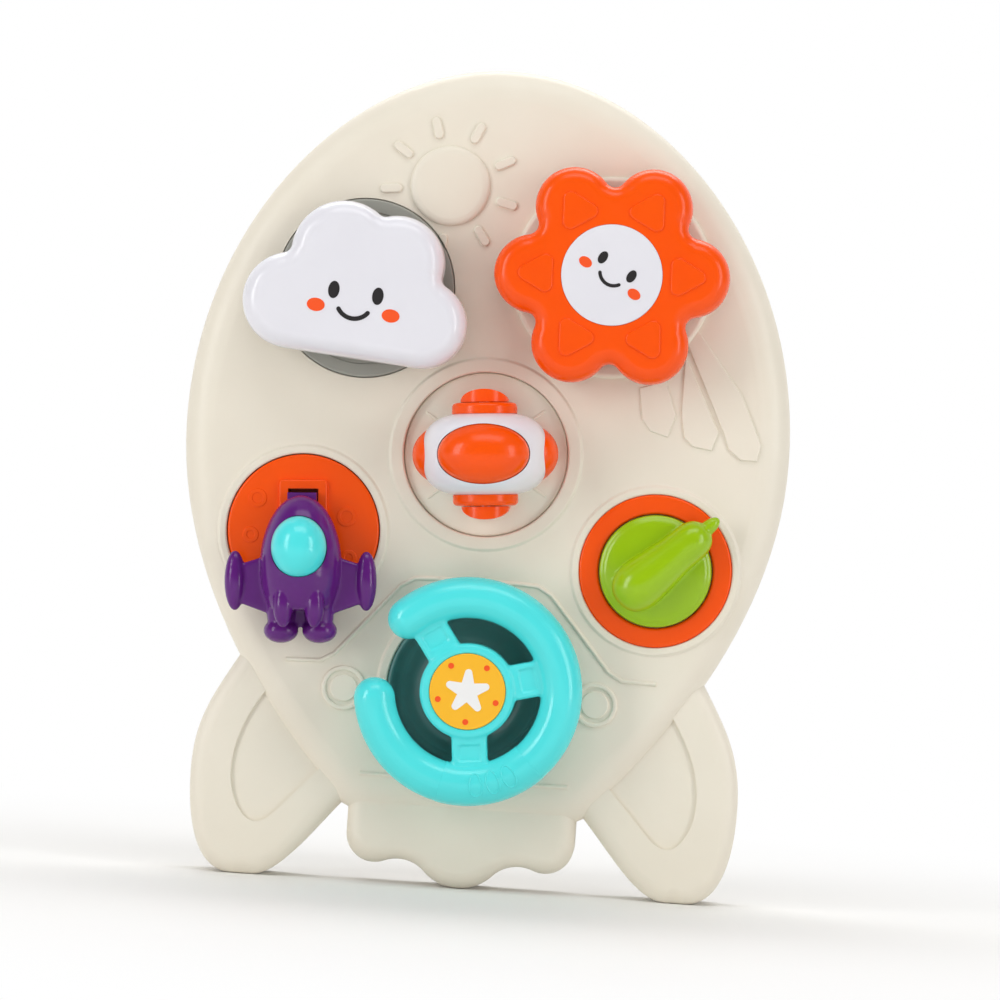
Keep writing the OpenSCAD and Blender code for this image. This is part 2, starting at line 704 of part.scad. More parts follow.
// Rounded three-sided recess that points out along x
leaf_round = 2;
function leaf_outline() = [for (k = [0:2]) for (i = [-2:2])
  polar(leaf_side - 2 * leaf_round, 120 * k) + polar(leaf_round, 120 * k + 30 * i)];
flower_tip = flower_z + flower_t - flower_front;
module flower_spot() stand() at(flower_x, flower_y, flower_turn) children();
module flower_shell() color(orange) flower_spot() difference() {
  union() {
    difference() {
      flower_form(edge_steps(flower_z, flower_z + flower_t, 0, flower_edge, flower_edge, 5));
      flower_form(edge_steps(flower_z - pass, flower_tip, toy_wall, flower_edge, flower_edge, 2));
    }
    rod(flower_post_r, flower_z + plate_t, flower_z + flower_t - flower_front / 2 - face_recess / 2);
  }
  screw_hole(flower_seat, flower_tip);
  rod(face_r + fit, flower_z + flower_t - face_recess, flower_z + flower_t + pass);
  for (k = [0:5]) rotate(petal_turn * k) translate([leaf_at, 0, flower_z + flower_t - leaf_depth])
    linear_extrude(leaf_depth + pass) polygon(leaf_outline());
}
module flower_back() color(orange) flower_spot() difference() {
  translate([0, 0, flower_z]) linear_extrude(plate_t) polygon(flower_outline(toy_wall + fit));
  screw_hole(flower_seat, flower_z + plate_t + pass);
}
module flower_face() color(white) flower_spot()
  puck(face_r, flower_z + flower_t - face_recess, flower_z + flower_t - face_recess + face_t, 0.4);
module flower_hub() color(orange) flower_spot() difference() {
  union() {
    rod(stem_r, flower_seat + end_float, flower_z);
    journal(flower_seat, flower_seat + end_float + sink);
  }
  screw_hole(flower_seat, flower_z + pass);
}
module flower_washer() flower_spot() washer(flower_seat);
module flower_screw() flower_spot() centre_screw(flower_seat, flower_tip - fit);

// Roller: barrel about the y axis, d inside its skin; its profile is a rounded square, bent round the axis
barrel_power = 3;
barrel_over = 0.4;
barrel_steps = 12;
function barrel_at(y, d) = (barrel_r - d)
  * pow(1 - pow(abs(y) / (barrel_len / 2 + barrel_over - d), barrel_power), 1 / barrel_power);
function barrel_profile(d) = let (half = barrel_len / 2 - d) concat([[0, -half]],
  [for (k = [-barrel_steps:barrel_steps]) let (y = half * sin(90 * k / barrel_steps)) [barrel_at(y, d), y]],
  [[0, half]]);
barrel_wall = 2.2;
drum_gap = 0.15;
drum_wall = 2.2;
module barrel_form(d) turned(barrel_profile(d), axle_z);
// Egg from end to end along its axis, as points of radius and place
egg_steps = 16;
function egg_profile(r, len) = concat([[0, -len]],
  [for (k = [1:egg_steps - 1]) let (a = -90 + 180 * k / egg_steps) [r * cos(a), len * sin(a)]],
  [[0, len]]);
// Three domes round the barrel, each an egg that lies across it
module domes(grow) for (k = [0:2]) translate([0, 0, axle_z]) rotate([0, 120 * k, 0])
  translate([0, 0, barrel_r + dome_rise - dome_r]) rotate([0, 90, 0])
    rotate_extrude() polygon(egg_profile(dome_r + grow, dome_half + grow));
module roller_spot() stand() at(roller_x, roller_y, roller_turn) children();
// Cylinder along the roller's axle between two places on it
module along(r, y0, y1) translate([0, y0, axle_z]) rotate([-90, 0, 0]) cylinder(r = r, h = y1 - y0);
axle_hole_r = axle_r + journal_gap;
cap_end = barrel_len / 2 + cap_t;
arm_in = cap_end + end_float;
arm_out = arm_in + arm_t;
spigot_wall = 6;
spigot_r = axle_hole_r + spigot_wall;
spigot_in = 1.8;
core_half = barrel_len / 2 - spigot_in;
drum_end = 12.6;
drum_end_r = 16.5;
module roller_barrel() color(white) roller_spot() difference() {
  barrel_form(0);
  barrel_form(barrel_wall);
  domes(drum_gap);
  along(spigot_r, -barrel_len, barrel_len);
}
module roller_drum() color(orange) roller_spot() difference() {
  union() {
    difference() {
      domes(0);
      domes(-drum_wall);
    }
    for (s = [-1, 1]) along(drum_end_r, s * drum_end - drum_wall / 2, s * drum_end + drum_wall / 2);
    along(axle_hole_r + drum_wall, -core_half, core_half);
  }
  along(axle_hole_r, -barrel_len, barrel_len);
}
module roller_end_caps() color(orange) roller_spot() for (s = [-1, 1]) difference() {
  union() {
    turned([[0, s * barrel_len / 2], [cap_r - 1, s * barrel_len / 2], [cap_r, s * (barrel_len / 2 + 1)],
      [cap_r, s * (cap_end - 1)], [cap_r - 1, s * cap_end], [0, s * cap_end]], axle_z);
    along(spigot_r - fit, min(s * core_half, s * (barrel_len / 2 + 1)),
      max(s * core_half, s * (barrel_len / 2 + 1)));
  }
  along(axle_hole_r, -barrel_len, barrel_len);
}
axle_in = 0.8;
module roller_axle() color(steel) roller_spot() along(axle_r, axle_in - arm_out, arm_out - axle_in);
dish_wall = 2;
dish_edge = 0.8;
dish_z = face - dish_depth;
arm_steps = 16;
// Half an ellipse that is the arm's outline from the front; s is 1 for the upper arm and -1 for the lower one
function arm_outline(s) = [for (k = [0:arm_steps]) let (a = 180 * k / arm_steps)
  [arm_r * cos(a), s * (arm_in + arm_t * sin(a))]];
module roller_yoke() color(orange) roller_spot() difference() {
  for (s = [-1, 1]) intersection() {
    union() {
      along(arm_r, min(s * arm_in, s * arm_out), max(s * arm_in, s * arm_out));
      translate([-arm_r, min(s * arm_in, s * arm_out), dish_z]) cube([2 * arm_r, arm_t, axle_z - dish_z]);
    }
    linear_extrude(depth) polygon(arm_outline(s));
  }
  along(axle_r + fit / 4, -arm_out - pass, arm_out + pass);
}
// Trough under the roller: what barrel and domes sweep as they spin, and a gap; g is how far outside it
function dome_at(y) = abs(y) < dome_r ? barrel_r + dome_rise - dome_r + sqrt(dome_r * dome_r - y * y) : 0;
function trough_profile(g) = let (half = barrel_len / 2, d = barrel_clear + g) concat([[0, -half - d]],
  [for (k = [-barrel_steps:barrel_steps]) let (y = half * sin(90 * k / barrel_steps))
    [max(barrel_at(y, 0), dome_at(y)) + d, y * (half + d) / half]],
  [[0, half + d]]);
module trough(g) turned(trough_profile(g), axle_z);
hub_high = 5;
hub_over = 4;
grip_ribs = [36, 144, 216, 324];
rib_from = 26;
rib_to = dish_r - 4;
rib_w = 1.2;
rib_rise = 0.6;
module roller_dish() color(cream) roller_spot() difference() {
  union() {
    puck(dish_r - run, dish_z - dish_wall, dish_z, dish_edge);
    intersection() {
      trough(dish_wall);
      below(dish_z - sink);
    }
    rod(journal_r + hub_over, roller_seat + end_float, roller_seat + end_float + hub_high);
    for (a = grip_ribs) rotate(a) bar([rib_from, 0], [rib_to, 0], rib_w, dish_z - sink, dish_z + rib_rise);
    journal(roller_seat, roller_seat + end_float + sink);
  }
  trough(0);
  screw_hole(roller_seat, dish_top + pass);
}
module roller_washer() roller_spot() washer(roller_seat);
module roller_screw() roller_spot() centre_screw(roller_seat, dish_top - 0.2);

// Plane lever
pin_y = 10.5;
pin_z = face - 4;
slot_low = -4;
slot_high = 18.2;
collar_w = 4;
collar_rise = 3;
disc_rise = 1;
disc_wall = 2.4;
hub_post_r = 7;
module plane_spot() stand() at(plane_x, plane_y, plane_turn) children();
module slot_box(grow, z0, z1) translate([-slot_w / 2 - grow, slot_low - grow, z0])
  cube([slot_w + 2 * grow, slot_high - slot_low + 2 * grow, z1 - z0]);
module pin_line(r, len) translate([-len / 2, pin_y, pin_z]) rotate([0, 90, 0]) cylinder(r = r, h = len);
slot_floor = plane_seat + end_float + disc_wall;
pin_len = slot_w + 2 * (disc_wall + 1);
module plane_disc() color(orange) plane_spot() difference() {
  union() {
    difference() {
      puck(plane_disc_r, plane_seat + end_float, face + disc_rise, 1.2);
      rod(plane_disc_r - disc_wall, plane_seat - pass, face + disc_rise - disc_wall);
    }
    rod(hub_post_r + disc_wall, plane_seat + end_float, face + disc_rise - sink);
    slot_box(disc_wall + 1, plane_seat + end_float, face + disc_rise - sink);
    slot_box(collar_w, face + disc_rise - sink, face + collar_rise);
    journal(plane_seat, plane_seat + end_float + sink);
  }
  slot_box(0, slot_floor, face + collar_rise + pass);
  pin_line(pin_r + fit / 4, pin_len - 1);
  screw_hole(plane_seat, slot_floor - 0.8);
}
module plane_pin() color(steel) plane_spot() pin_line(pin_r, pin_len - 1 - fit);
module plane_washer() plane_spot() washer(plane_seat);
module plane_screw() plane_spot() centre_screw(plane_seat, slot_floor - 1);

arm_w = slot_w - 2 * run;
arm_eye_r = 5;
arm_high = 16.4;
arm_low = 4;
arm_step = 1.5;
arm_foot = -30;
arm_plate_t = 2.6;
module plane_arm() color(purple) plane_spot() difference() {
  union() {
    translate([-arm_w / 2, pin_y, pin_z]) rotate([0, 90, 0]) cylinder(r = arm_eye_r, h = arm_w);
    translate([-arm_w / 2, arm_low + arm_step, pin_z])
      cube([arm_w, arm_high - arm_low - arm_step, plane_z - pin_z - sink]);
    translate([-arm_w / 2, arm_foot, plane_z - arm_plate_t]) cube([arm_w, arm_high - arm_foot, arm_plate_t]);
  }
  pin_line(pin_r + journal_gap, slot_w + pass);
}

// Hull of the plane: an egg about the y axis, cut flat at the back
nose_y = 15.2;
hull_wide_y = -16;
hull_end_y = -34;
hull_end_r = 14.6;
hull_steps = 14;
canopy_y = -7.2;
canopy_len = 13.4;
leg_x = 8.4;
leg_r = 6.4;
ridge_at = [6.8, -32.5, 11.4];
ridge_r = 4.2;
ridge_len = 9.5;
boot_r = 7.6;
boot_y = -43.6;
boot_half = 5.4;
web = [16, 12, 4];
web_low = -42;
pod_x = 28.6;
pod_y = -22;
pod_r = 4.6;
pod_len = 13;
wing_t = 5;
wing = [[8, -9], [pod_x, -15.5], [pod_x, -31], [8, -38.5]];
hull_tail = [hull_r - 0.6, hull_wide_y - 7];
function hull_profile() = concat([[0, hull_end_y], [hull_end_r, hull_end_y], hull_tail],
  [for (k = [0:hull_steps - 1]) let (a = 90 * k / hull_steps)
    [hull_r * cos(a), hull_wide_y + (nose_y - hull_wide_y) * sin(a)]], [[0, nose_y]]);
module plane_canopy_form(gap) translate([0, canopy_y, 0]) intersection() {
  turned(egg_profile(canopy_r + gap, canopy_len + gap), hull_axis_z + canopy_rise);
  translate([-hull_r, -hull_r, hull_axis_z - gap]) cube([2 * hull_r, 2 * hull_r, 2 * hull_r]);
}
module plane_hull() color(purple) plane_spot() difference() {
  intersection() {
    union() {
      turned(hull_profile(), hull_axis_z);
      translate([-web.x / 2, web_low, plane_z]) cube(web);
      pair() {
        translate([leg_x, hull_end_y + 6, hull_axis_z]) rotate([90, 0, 0])
          cylinder(r = leg_r, h = hull_end_y + 6 - boot_y);
        translate([leg_x, boot_y, 0]) turned(egg_profile(boot_r, boot_half), hull_axis_z);
        translate([ridge_at.x, ridge_at.y, 0])
          turned(egg_profile(ridge_r, ridge_len), hull_axis_z + ridge_at.z);
        translate([pod_x, pod_y, 0]) turned(egg_profile(pod_r, pod_len), hull_axis_z + 0.5);
        translate([0, 0, hull_axis_z - wing_t / 2]) linear_extrude(wing_t) polygon(wing);
      }
    }
    above(plane_z);
  }
  plane_canopy_form(fit);
}
module plane_canopy() color(turquoise) plane_spot() plane_canopy_form(0);

// Knob
bezel_in = knob_r + run;
bezel_rise = 1.2;
knob_edge = 3.5;
// Pear-shaped grip along its own axis: the fat end, the neck and the round tip
pear_back = -21;
pear_tip = 29.5;
neck_at = 18;
neck_r = 7.4;
pear_steps = 7;
// Small leaf beyond the tip
leaf_x = 29.5;
leaf_r = 3.2;
leaf_half = 6.5;
function pear_profile() = let (fat = [pear_r, -6], neck = [neck_r, neck_at]) concat(
  bez_run([0, pear_back], [pear_r - 1.5, pear_back], fat + [0.5, -6], fat, pear_steps),
  bez_run(fat, fat + [-0.7, 8], neck - [0, 10], neck, pear_steps),
  bez_run(neck, neck + [0, 7], [5, pear_tip], [0, pear_tip], pear_steps), [[0, pear_tip]]);
module knob_bezel() color(orange) stand() at(knob_x, knob_y)
  bead_ring(bezel_in, bezel_r, knob_seat, face + bezel_rise, 1);
module knob_spot() stand() at(knob_x, knob_y, knob_turn) children();
knob_top = face + knob_h;
module pear_knob() color(green) knob_spot() difference() {
  union() {
    puck(knob_r, knob_seat + end_float, knob_top, knob_edge);
    intersection() {
      union() {
        rotate(-90) turned(pear_profile(), pear_z);
        translate([leaf_x, 0, 0]) rotate(-90) turned(egg_profile(leaf_r, leaf_half), pear_z);
      }
      above(face + bezel_rise + run);
    }
    journal(knob_seat, knob_seat + end_float + sink);
  }
  screw_hole(knob_seat, knob_top - 2);
}
module knob_washer() knob_spot() washer(knob_seat);
module knob_screw() knob_spot() centre_screw(knob_seat, knob_top - 2 - fit);

// Steering wheel
rim_gap_from = 146;
rim_gap_to = 175;
spokes = [14.4, 125, 275.6];
end_cap_deg = asin(tube_r / rim_r);
rim_sweep = 360 - (rim_gap_to - rim_gap_from) - 2 * end_cap_deg;
// The rim is a hollow moulding, open along its back
rim_wall = 2.2;
channel_w = 2 * (tube_r - rim_wall) - 3;
column_r = 11;
spigot_len = 6;
badge_t = 1.6;
badge_recess = 1.2;
smoke_wall = 2;
hub_front = hub_z + hub_t;
module wheel_spot() stand() at(wheel_x, wheel_y) children();
module steering_wheel() color(turquoise) wheel_spot() difference() {
  union() {
    translate([0, 0, rim_z]) rotate(rim_gap_to + end_cap_deg)
      rotate_extrude(angle = rim_sweep) translate([rim_r, 0]) circle(tube_r);
    rotate(rim_gap_to + end_cap_deg) translate([rim_r, sink, rim_z])
      mirror([0, 1, 0]) half_ball(tube_r - fit);
    rotate(rim_gap_from - end_cap_deg) translate([rim_r, -sink, rim_z]) half_ball(tube_r - fit);
    puck(hub_r, hub_z, hub_front, 3);
    for (a = spokes) rotate(a) translate([0, -spoke_w / 2, rim_z - spoke_t / 2])
      cube([rim_r, spoke_w, spoke_t]);
  }
  translate([0, 0, rim_z]) rotate(rim_gap_to + end_cap_deg) rotate_extrude(angle = rim_sweep)
    translate([rim_r, 0]) union() {
      circle(tube_r - rim_wall);
      translate([-channel_w / 2, -tube_r - pass]) square([channel_w, tube_r + pass]);
    }
  rod(journal_r + fit, hub_z - pass, hub_z + spigot_len);
  rod(badge_r + fit, hub_front - badge_recess, hub_front + pass);
  screw_hole(wheel_seat, hub_front - badge_recess - 2);
}
module wheel_badge() color(yellow) wheel_spot()
  puck(badge_r, hub_front - badge_recess, hub_front - badge_recess + badge_t, 0.4);
module wheel_column() color(turquoise) wheel_spot() difference() {
  union() {
    journal(wheel_seat, hub_z + spigot_len - fit);
    rod(column_r, wheel_seat + smoke_wall + end_float, hub_z);
  }
  screw_hole(wheel_seat, hub_z + spigot_len + pass);
}
smoke_floor_r = 22;
smoke_steps = 8;
function smoke_curve(d) = [for (k = [0:smoke_steps]) let (a = 90 * k / smoke_steps)
  [smoke_floor_r + (smoke_r - smoke_floor_r - d) * sin(a), d + (smoke_sink - d) * (1 - cos(a))]];
module wheel_dish() color(smoke) wheel_spot() translate([0, 0, wheel_seat]) rotate_extrude() polygon(concat(
  [[journal_r + 1, 0]], smoke_curve(0),
  [for (k = [smoke_steps:-1:0]) smoke_curve(smoke_wall)[k]],
  [[journal_r + 1, smoke_wall]]));
module wheel_washer() wheel_spot() washer(wheel_seat);
module wheel_screw() wheel_spot() centre_screw(wheel_seat, hub_front - badge_recess - 2 - fit);

front_shell();
fin_left();
fin_right();
flame();
back_cover();
cover_screws();
knob_bezel();
wheel_dish();
cloud_turntable();
cloud_back();
cloud_shell();
cloud_washer();
cloud_screw();
flower_hub();
flower_back();
flower_shell();
flower_face();
flower_washer();
flower_screw();
roller_dish();
roller_yoke();
roller_axle();
roller_washer();
roller_screw();
roller_barrel();
roller_drum();
roller_end_caps();
plane_disc();
plane_pin();
plane_washer();
plane_screw();
plane_arm();
plane_hull();
plane_canopy();
pear_knob();
knob_washer();
knob_screw();
steering_wheel();
wheel_column();
wheel_badge();
wheel_washer();
wheel_screw();
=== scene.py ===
# %% [markdown]
# # A rocket-shaped busy board
# A busy board is a toddler's toy: one cream plastic housing with things to turn, spin and rock on its front.
# The measured parts come from the CAD frame. This lesson dresses them: each visible moulding is modelled again
# with the soft edges, fillets and prints of the real toy, and takes the place of the plain CAD solid.

# %% Load the frame and write each part's place into its mesh
import math

import bpy
from mathutils import Matrix


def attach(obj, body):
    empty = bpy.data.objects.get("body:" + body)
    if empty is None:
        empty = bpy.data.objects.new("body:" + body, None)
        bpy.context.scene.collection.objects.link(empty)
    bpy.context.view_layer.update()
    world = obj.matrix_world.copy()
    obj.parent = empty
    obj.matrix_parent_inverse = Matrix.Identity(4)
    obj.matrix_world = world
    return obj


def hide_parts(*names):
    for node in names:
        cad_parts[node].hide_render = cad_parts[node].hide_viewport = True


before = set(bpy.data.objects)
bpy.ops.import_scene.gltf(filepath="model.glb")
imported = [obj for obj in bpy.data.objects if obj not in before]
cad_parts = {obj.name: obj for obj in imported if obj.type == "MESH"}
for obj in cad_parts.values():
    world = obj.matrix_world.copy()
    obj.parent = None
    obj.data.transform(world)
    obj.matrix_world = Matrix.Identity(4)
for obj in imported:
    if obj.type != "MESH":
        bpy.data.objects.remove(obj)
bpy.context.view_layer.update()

# %% [markdown]
# ## Working on the bench
# The toy is easiest to model lying on its back, in millimetres: x to the right, y up the board and z out of the
# panel. `settle` then stands a finished piece up in the frame, in metres, and writes its place into the mesh.
# Operators act on whatever is selected, so `only` clears the selection before each of them.

# %% Bench helpers
MM = 0.001
HALF_DEPTH = 40.3
STAND = Matrix.Scale(MM, 4) @ Matrix(((1, 0, 0, 0), (0, 0, -1, HALF_DEPTH), (0, 1, 0, 0), (0, 0, 0, 1)))


def only(piece):
    if bpy.context.object and bpy.context.object.mode != "OBJECT":
        bpy.ops.object.mode_set(mode="OBJECT")
    bpy.ops.object.select_all(action="DESELECT")
    piece.select_set(True)
    bpy.context.view_layer.objects.active = piece


def pick(piece, test):
    """Goes into edit mode with the vertices selected that pass the test."""
    only(piece)
    bpy.ops.object.mode_set(mode="EDIT")
    bpy.ops.mesh.select_mode(type="VERT")
    bpy.ops.mesh.select_all(action="DESELECT")
    bpy.ops.object.mode_set(mode="OBJECT")
    for v in piece.data.vertices:
        v.select = bool(test(v.co))
    bpy.ops.object.mode_set(mode="EDIT")


def clean(piece):
    """Merges doubles and turns every face outwards."""
    pick(piece, lambda p: True)
    bpy.ops.mesh.remove_doubles(threshold=1e-4)
    bpy.ops.mesh.normals_make_consistent(inside=False)
    bpy.ops.object.mode_set(mode="OBJECT")
    return piece


def finish_modifier(piece, kind, **settings):
    """Adds a modifier, sets it and applies it."""
    only(piece)
    m = piece.modifiers.new(kind.title(), kind)
    for key, value in settings.items():
        setattr(m, key, value)
    bpy.ops.object.modifier_apply(modifier=m.name)
    return piece


def solid(piece, tool, operation):
    """Unites, cuts or intersects a piece with a tool, and throws the tool away."""
    finish_modifier(piece, "BOOLEAN", object=tool, operation=operation, solver="EXACT")
    bpy.data.objects.remove(tool)
    return piece


def joined(pieces):
    only(pieces[0])
    for p in pieces:
        p.select_set(True)
    if len(pieces) > 1:
        bpy.ops.object.join()
    return bpy.context.object


def moved(piece, x=0, y=0, z=0, turn=0, tip=0):
    """Tips a piece about x, turns it about z, and moves it, all in its mesh."""
    piece.matrix_world = (Matrix.Translation((x, y, z)) @ Matrix.Rotation(math.radians(turn), 4, "Z")
                          @ Matrix.Rotation(math.radians(tip), 4, "X"))
    only(piece)
    bpy.ops.object.transform_apply(location=True, rotation=True, scale=True)
    return piece


def copied(piece, **place):
    only(piece)
    bpy.ops.object.duplicate()
    return moved(bpy.context.object, **place)


def soft(piece, angle=32):
    """Smooth shading that keeps real edges, weighted so that flat faces stay flat."""
    only(piece)
    bpy.ops.object.shade_smooth_by_angle(angle=math.radians(angle))
    return finish_modifier(piece, "WEIGHTED_NORMAL", keep_sharp=True, weight=80)


def rounded(piece, width, segments=3, angle=40):
    return finish_modifier(piece, "BEVEL", width=width, segments=segments, limit_method="ANGLE",
                           angle_limit=math.radians(angle), miter_outer="MITER_ARC")


made = []


def settle(piece, name, body, slot, finish, nodes=(), x=0, y=0, turn=0):
    """Stands a finished piece in the frame and says what it rides on and what it stands for."""
    piece.name = piece.data.name = name
    piece.matrix_world = STAND @ Matrix.Translation((x, y, 0)) @ Matrix.Rotation(math.radians(turn), 4, "Z")
    only(piece)
    bpy.ops.object.transform_apply(location=True, rotation=True, scale=True)
    piece.data.materials.clear()
    piece.data.materials.append(finish)
    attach(piece, body)
    if nodes:
        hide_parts(*nodes)
    made.append(piece)
    print(f"{name}: {len(piece.data.polygons)} faces")
    return piece


# %% [markdown]
# ## Three ways to start a moulding
# Nearly every piece here is one of three forms. A *plate* is an outline that is extruded and then bevelled along
# its front edge. A *turned* piece is a profile spun about the axis. A *lofted* piece runs through a stack of
# outlines, which gives the broad elliptical edge of the housing that a bevel cannot.

# %% Plate, turned piece, loft and line
def plate(name, outline, low, high, edge=0, steps=8, back=0):
    bpy.ops.mesh.primitive_circle_add(vertices=len(outline), fill_type="NGON")
    piece = bpy.context.object
    piece.name = name
    for v, p in zip(piece.data.vertices, outline):
        v.co = (p[0], p[1], low)
    pick(piece, lambda p: True)
    bpy.ops.mesh.extrude_region_move(TRANSFORM_OT_translate={"value": (0, 0, high - low)})
    clean(piece)
    for height, width, count in ((high, edge, steps), (low, back, 3)):
        if width:
            pick(piece, lambda p: abs(p.z - height) < 1e-4)
            bpy.ops.mesh.bevel(offset=width, segments=count, profile=0.5, affect="EDGES")
            bpy.ops.object.mode_set(mode="OBJECT")
    return clean(piece)


def turned(name, profile, steps=128):
    """Spins a closed profile of radius and height about z; points on the axis close the ends."""
    bpy.ops.mesh.primitive_circle_add(vertices=len(profile), fill_type="NOTHING")
    piece = bpy.context.object
    piece.name = name
    for v, p in zip(piece.data.vertices, profile):
        v.co = (p[0], 0, p[1])
    pick(piece, lambda p: p.x < 1e-6)
    bpy.ops.mesh.delete(type="EDGE_FACE")
    bpy.ops.mesh.select_all(action="SELECT")
    bpy.ops.mesh.spin(steps=steps, angle=2 * math.pi, center=(0, 0, 0), axis=(0, 0, 1))
    return clean(piece)


def box(name, x0, x1, y0, y1, z0, z1, edge=0, steps=4):
    return plate(name, [(x0, y0), (x1, y0), (x1, y1), (x0, y1)], z0, z1, edge, steps)


def egg(name, radius, half, steps=56):
    """Egg of revolution about z."""
    profile = [(radius * math.cos(a), half * math.sin(a)) for a in [math.pi * k / 36 - math.pi / 2 for k in range(37)]]
    return turned(name, [(max(0, r), z) for r, z in profile], steps)


def lofted(name, rings):
    """Closed skin through rings of points that all have the same count."""
    n = len(rings[0])
    points = [p for ring in rings for p in ring]
    faces = [(j * n + i, j * n + (i + 1) % n, (j + 1) * n + (i + 1) % n, (j + 1) * n + i)
             for j in range(len(rings) - 1) for i in range(n)]
    faces += [tuple(reversed(range(n))), tuple(range(len(points) - n, len(points)))]
    mesh = bpy.data.meshes.new(name)
    mesh.from_pydata(points, [], faces)
    piece = bpy.data.objects.new(name, mesh)
    bpy.context.collection.objects.link(piece)
    return clean(piece)


def line(name, points, radius, closed=False, sides=4):
    """Round line through points, as a mesh."""
    curve = bpy.data.curves.new(name, "CURVE")
    curve.dimensions = "3D"
    curve.bevel_depth = radius
    curve.bevel_resolution = sides
    curve.use_fill_caps = True
    spline = curve.splines.new("POLY")
    spline.points.add(len(points) - 1)
    for s, p in zip(spline.points, points):
        s.co = (*p, 1)
    spline.use_cyclic_u = closed
    piece = bpy.data.objects.new(name, curve)
    bpy.context.collection.objects.link(piece)
    only(piece)
    bpy.ops.object.convert(target="MESH")
    return clean(bpy.context.object)


def polar(radius, degrees, at=(0, 0)):
    a = math.radians(degrees)
    return (at[0] + radius * math.cos(a), at[1] + radius * math.sin(a))


def quarter(steps):
    """Angles of a quarter turn in even steps."""
    return [math.pi / 2 * k / steps for k in range(steps + 1)]


def oval(half_w, half_h, count=64):
    return [(half_w * math.cos(2 * math.pi * k / count), half_h * math.sin(2 * math.pi * k / count))
            for k in range(count)]


def puck(radius, low, high, edge, back=0.4, steps=8):
    """Profile of a disc with a rounded front edge and a small back edge."""
    front = [(radius - edge + edge * math.cos(a), high - edge + edge * math.sin(a)) for a in quarter(steps)]
    return [(0, low), (radius - back, low), (radius, low + back)] + front + [(0, high)]


def ring_profile(inner, outer, low, high, edge, steps=6):
    """Profile of a ring with two rounded front edges."""
    out = [(outer - edge + edge * math.cos(a), high - edge + edge * math.sin(a)) for a in quarter(steps)]
    into = [(inner + edge - edge * math.sin(a), high - edge + edge * math.cos(a)) for a in quarter(steps)]
    return [(inner, low), (outer, low)] + out + into


# %% [markdown]
# ## Outlines with lobes and hollows
# Cloud, flower and flame all have the same kind of outline: round lobes with a smaller round hollow between each
# two. Two circles and a third that touches both give it exactly, and it stays parallel when it is drawn in.

# %% Lobed outlines
def heading(p, q):
    return math.degrees(math.atan2(q[1] - p[1], q[0] - p[0]))


def arc(centre, radius, start, end, count):
    return [polar(radius, start + (end - start) * i / count, centre) for i in range(count + 1)]


def hollow_at(p, q, f):
    dx, dy = q[0] - p[0], q[1] - p[1]
    span = math.hypot(dx, dy)
    a, b = p[2] + f, q[2] + f
    reach = (a * a - b * b + span * span) / (2 * span)
    side = math.sqrt(a * a - reach * reach)
    return (p[0] + (reach * dx + side * dy) / span, p[1] + (reach * dy - side * dx) / span)


def lobe_arc(before, lobe, after, inset, count=28):
    start, end = heading(lobe, before), heading(lobe, after)
    return arc(lobe, lobe[2] - inset, start, end + 360 if end < start else end, count)


def hollow_arc(p, q, f, inset, count=10):
    c = hollow_at(p, q, f)
    start, end = heading(c, p), heading(c, q)
    return arc(c, f + inset, start, end - 360 if end > start else end, count)[1:-1]


def bezier(a, b, c, d, count):
    points = []
    for i in range(count):
        t = i / count
        points.append(tuple((1 - t) ** 3 * a[k] + 3 * (1 - t) ** 2 * t * b[k] + 3 * (1 - t) * t * t * c[k]
                            + t ** 3 * d[k] for k in (0, 1)))
    return points


# %% [markdown]
# ## Finishes
# Everything the child touches is injection-moulded ABS. Polished moulds give a glossy skin and spark-eroded
# moulds a satin one. Both have faint flow marks a few centimetres long and a fine grain, and the grain is drawn
# coarser than the real 0.1 mm so that it shows at this size.

# %% Colour and node helpers
def linear(hex_colour):
    """Turns an sRGB hex value into the linear colour that a shader takes."""
    channels = [int(hex_colour[i:i + 2], 16) / 255 for i in (1, 3, 5)]
    return tuple(c / 12.92 if c <= 0.04045 else ((c + 0.055) / 1.055) ** 2.4 for c in channels) + (1,)


def add(tree, kind, values=None, links=None, **settings):
    """Adds a node, sets its properties and input values, and links its inputs."""
    n = tree.nodes.new(kind)
    for key, value in settings.items():
        setattr(n, key, value)
    for key, value in (values or {}).items():
        n.inputs[key].default_value = value
    for key, out in (links or {}).items():
        tree.links.new(out, n.inputs[key])
    return n


def per_mm(size):
    """Noise scale, per metre, whose features are about size millimetres across."""
    return 1000 / size


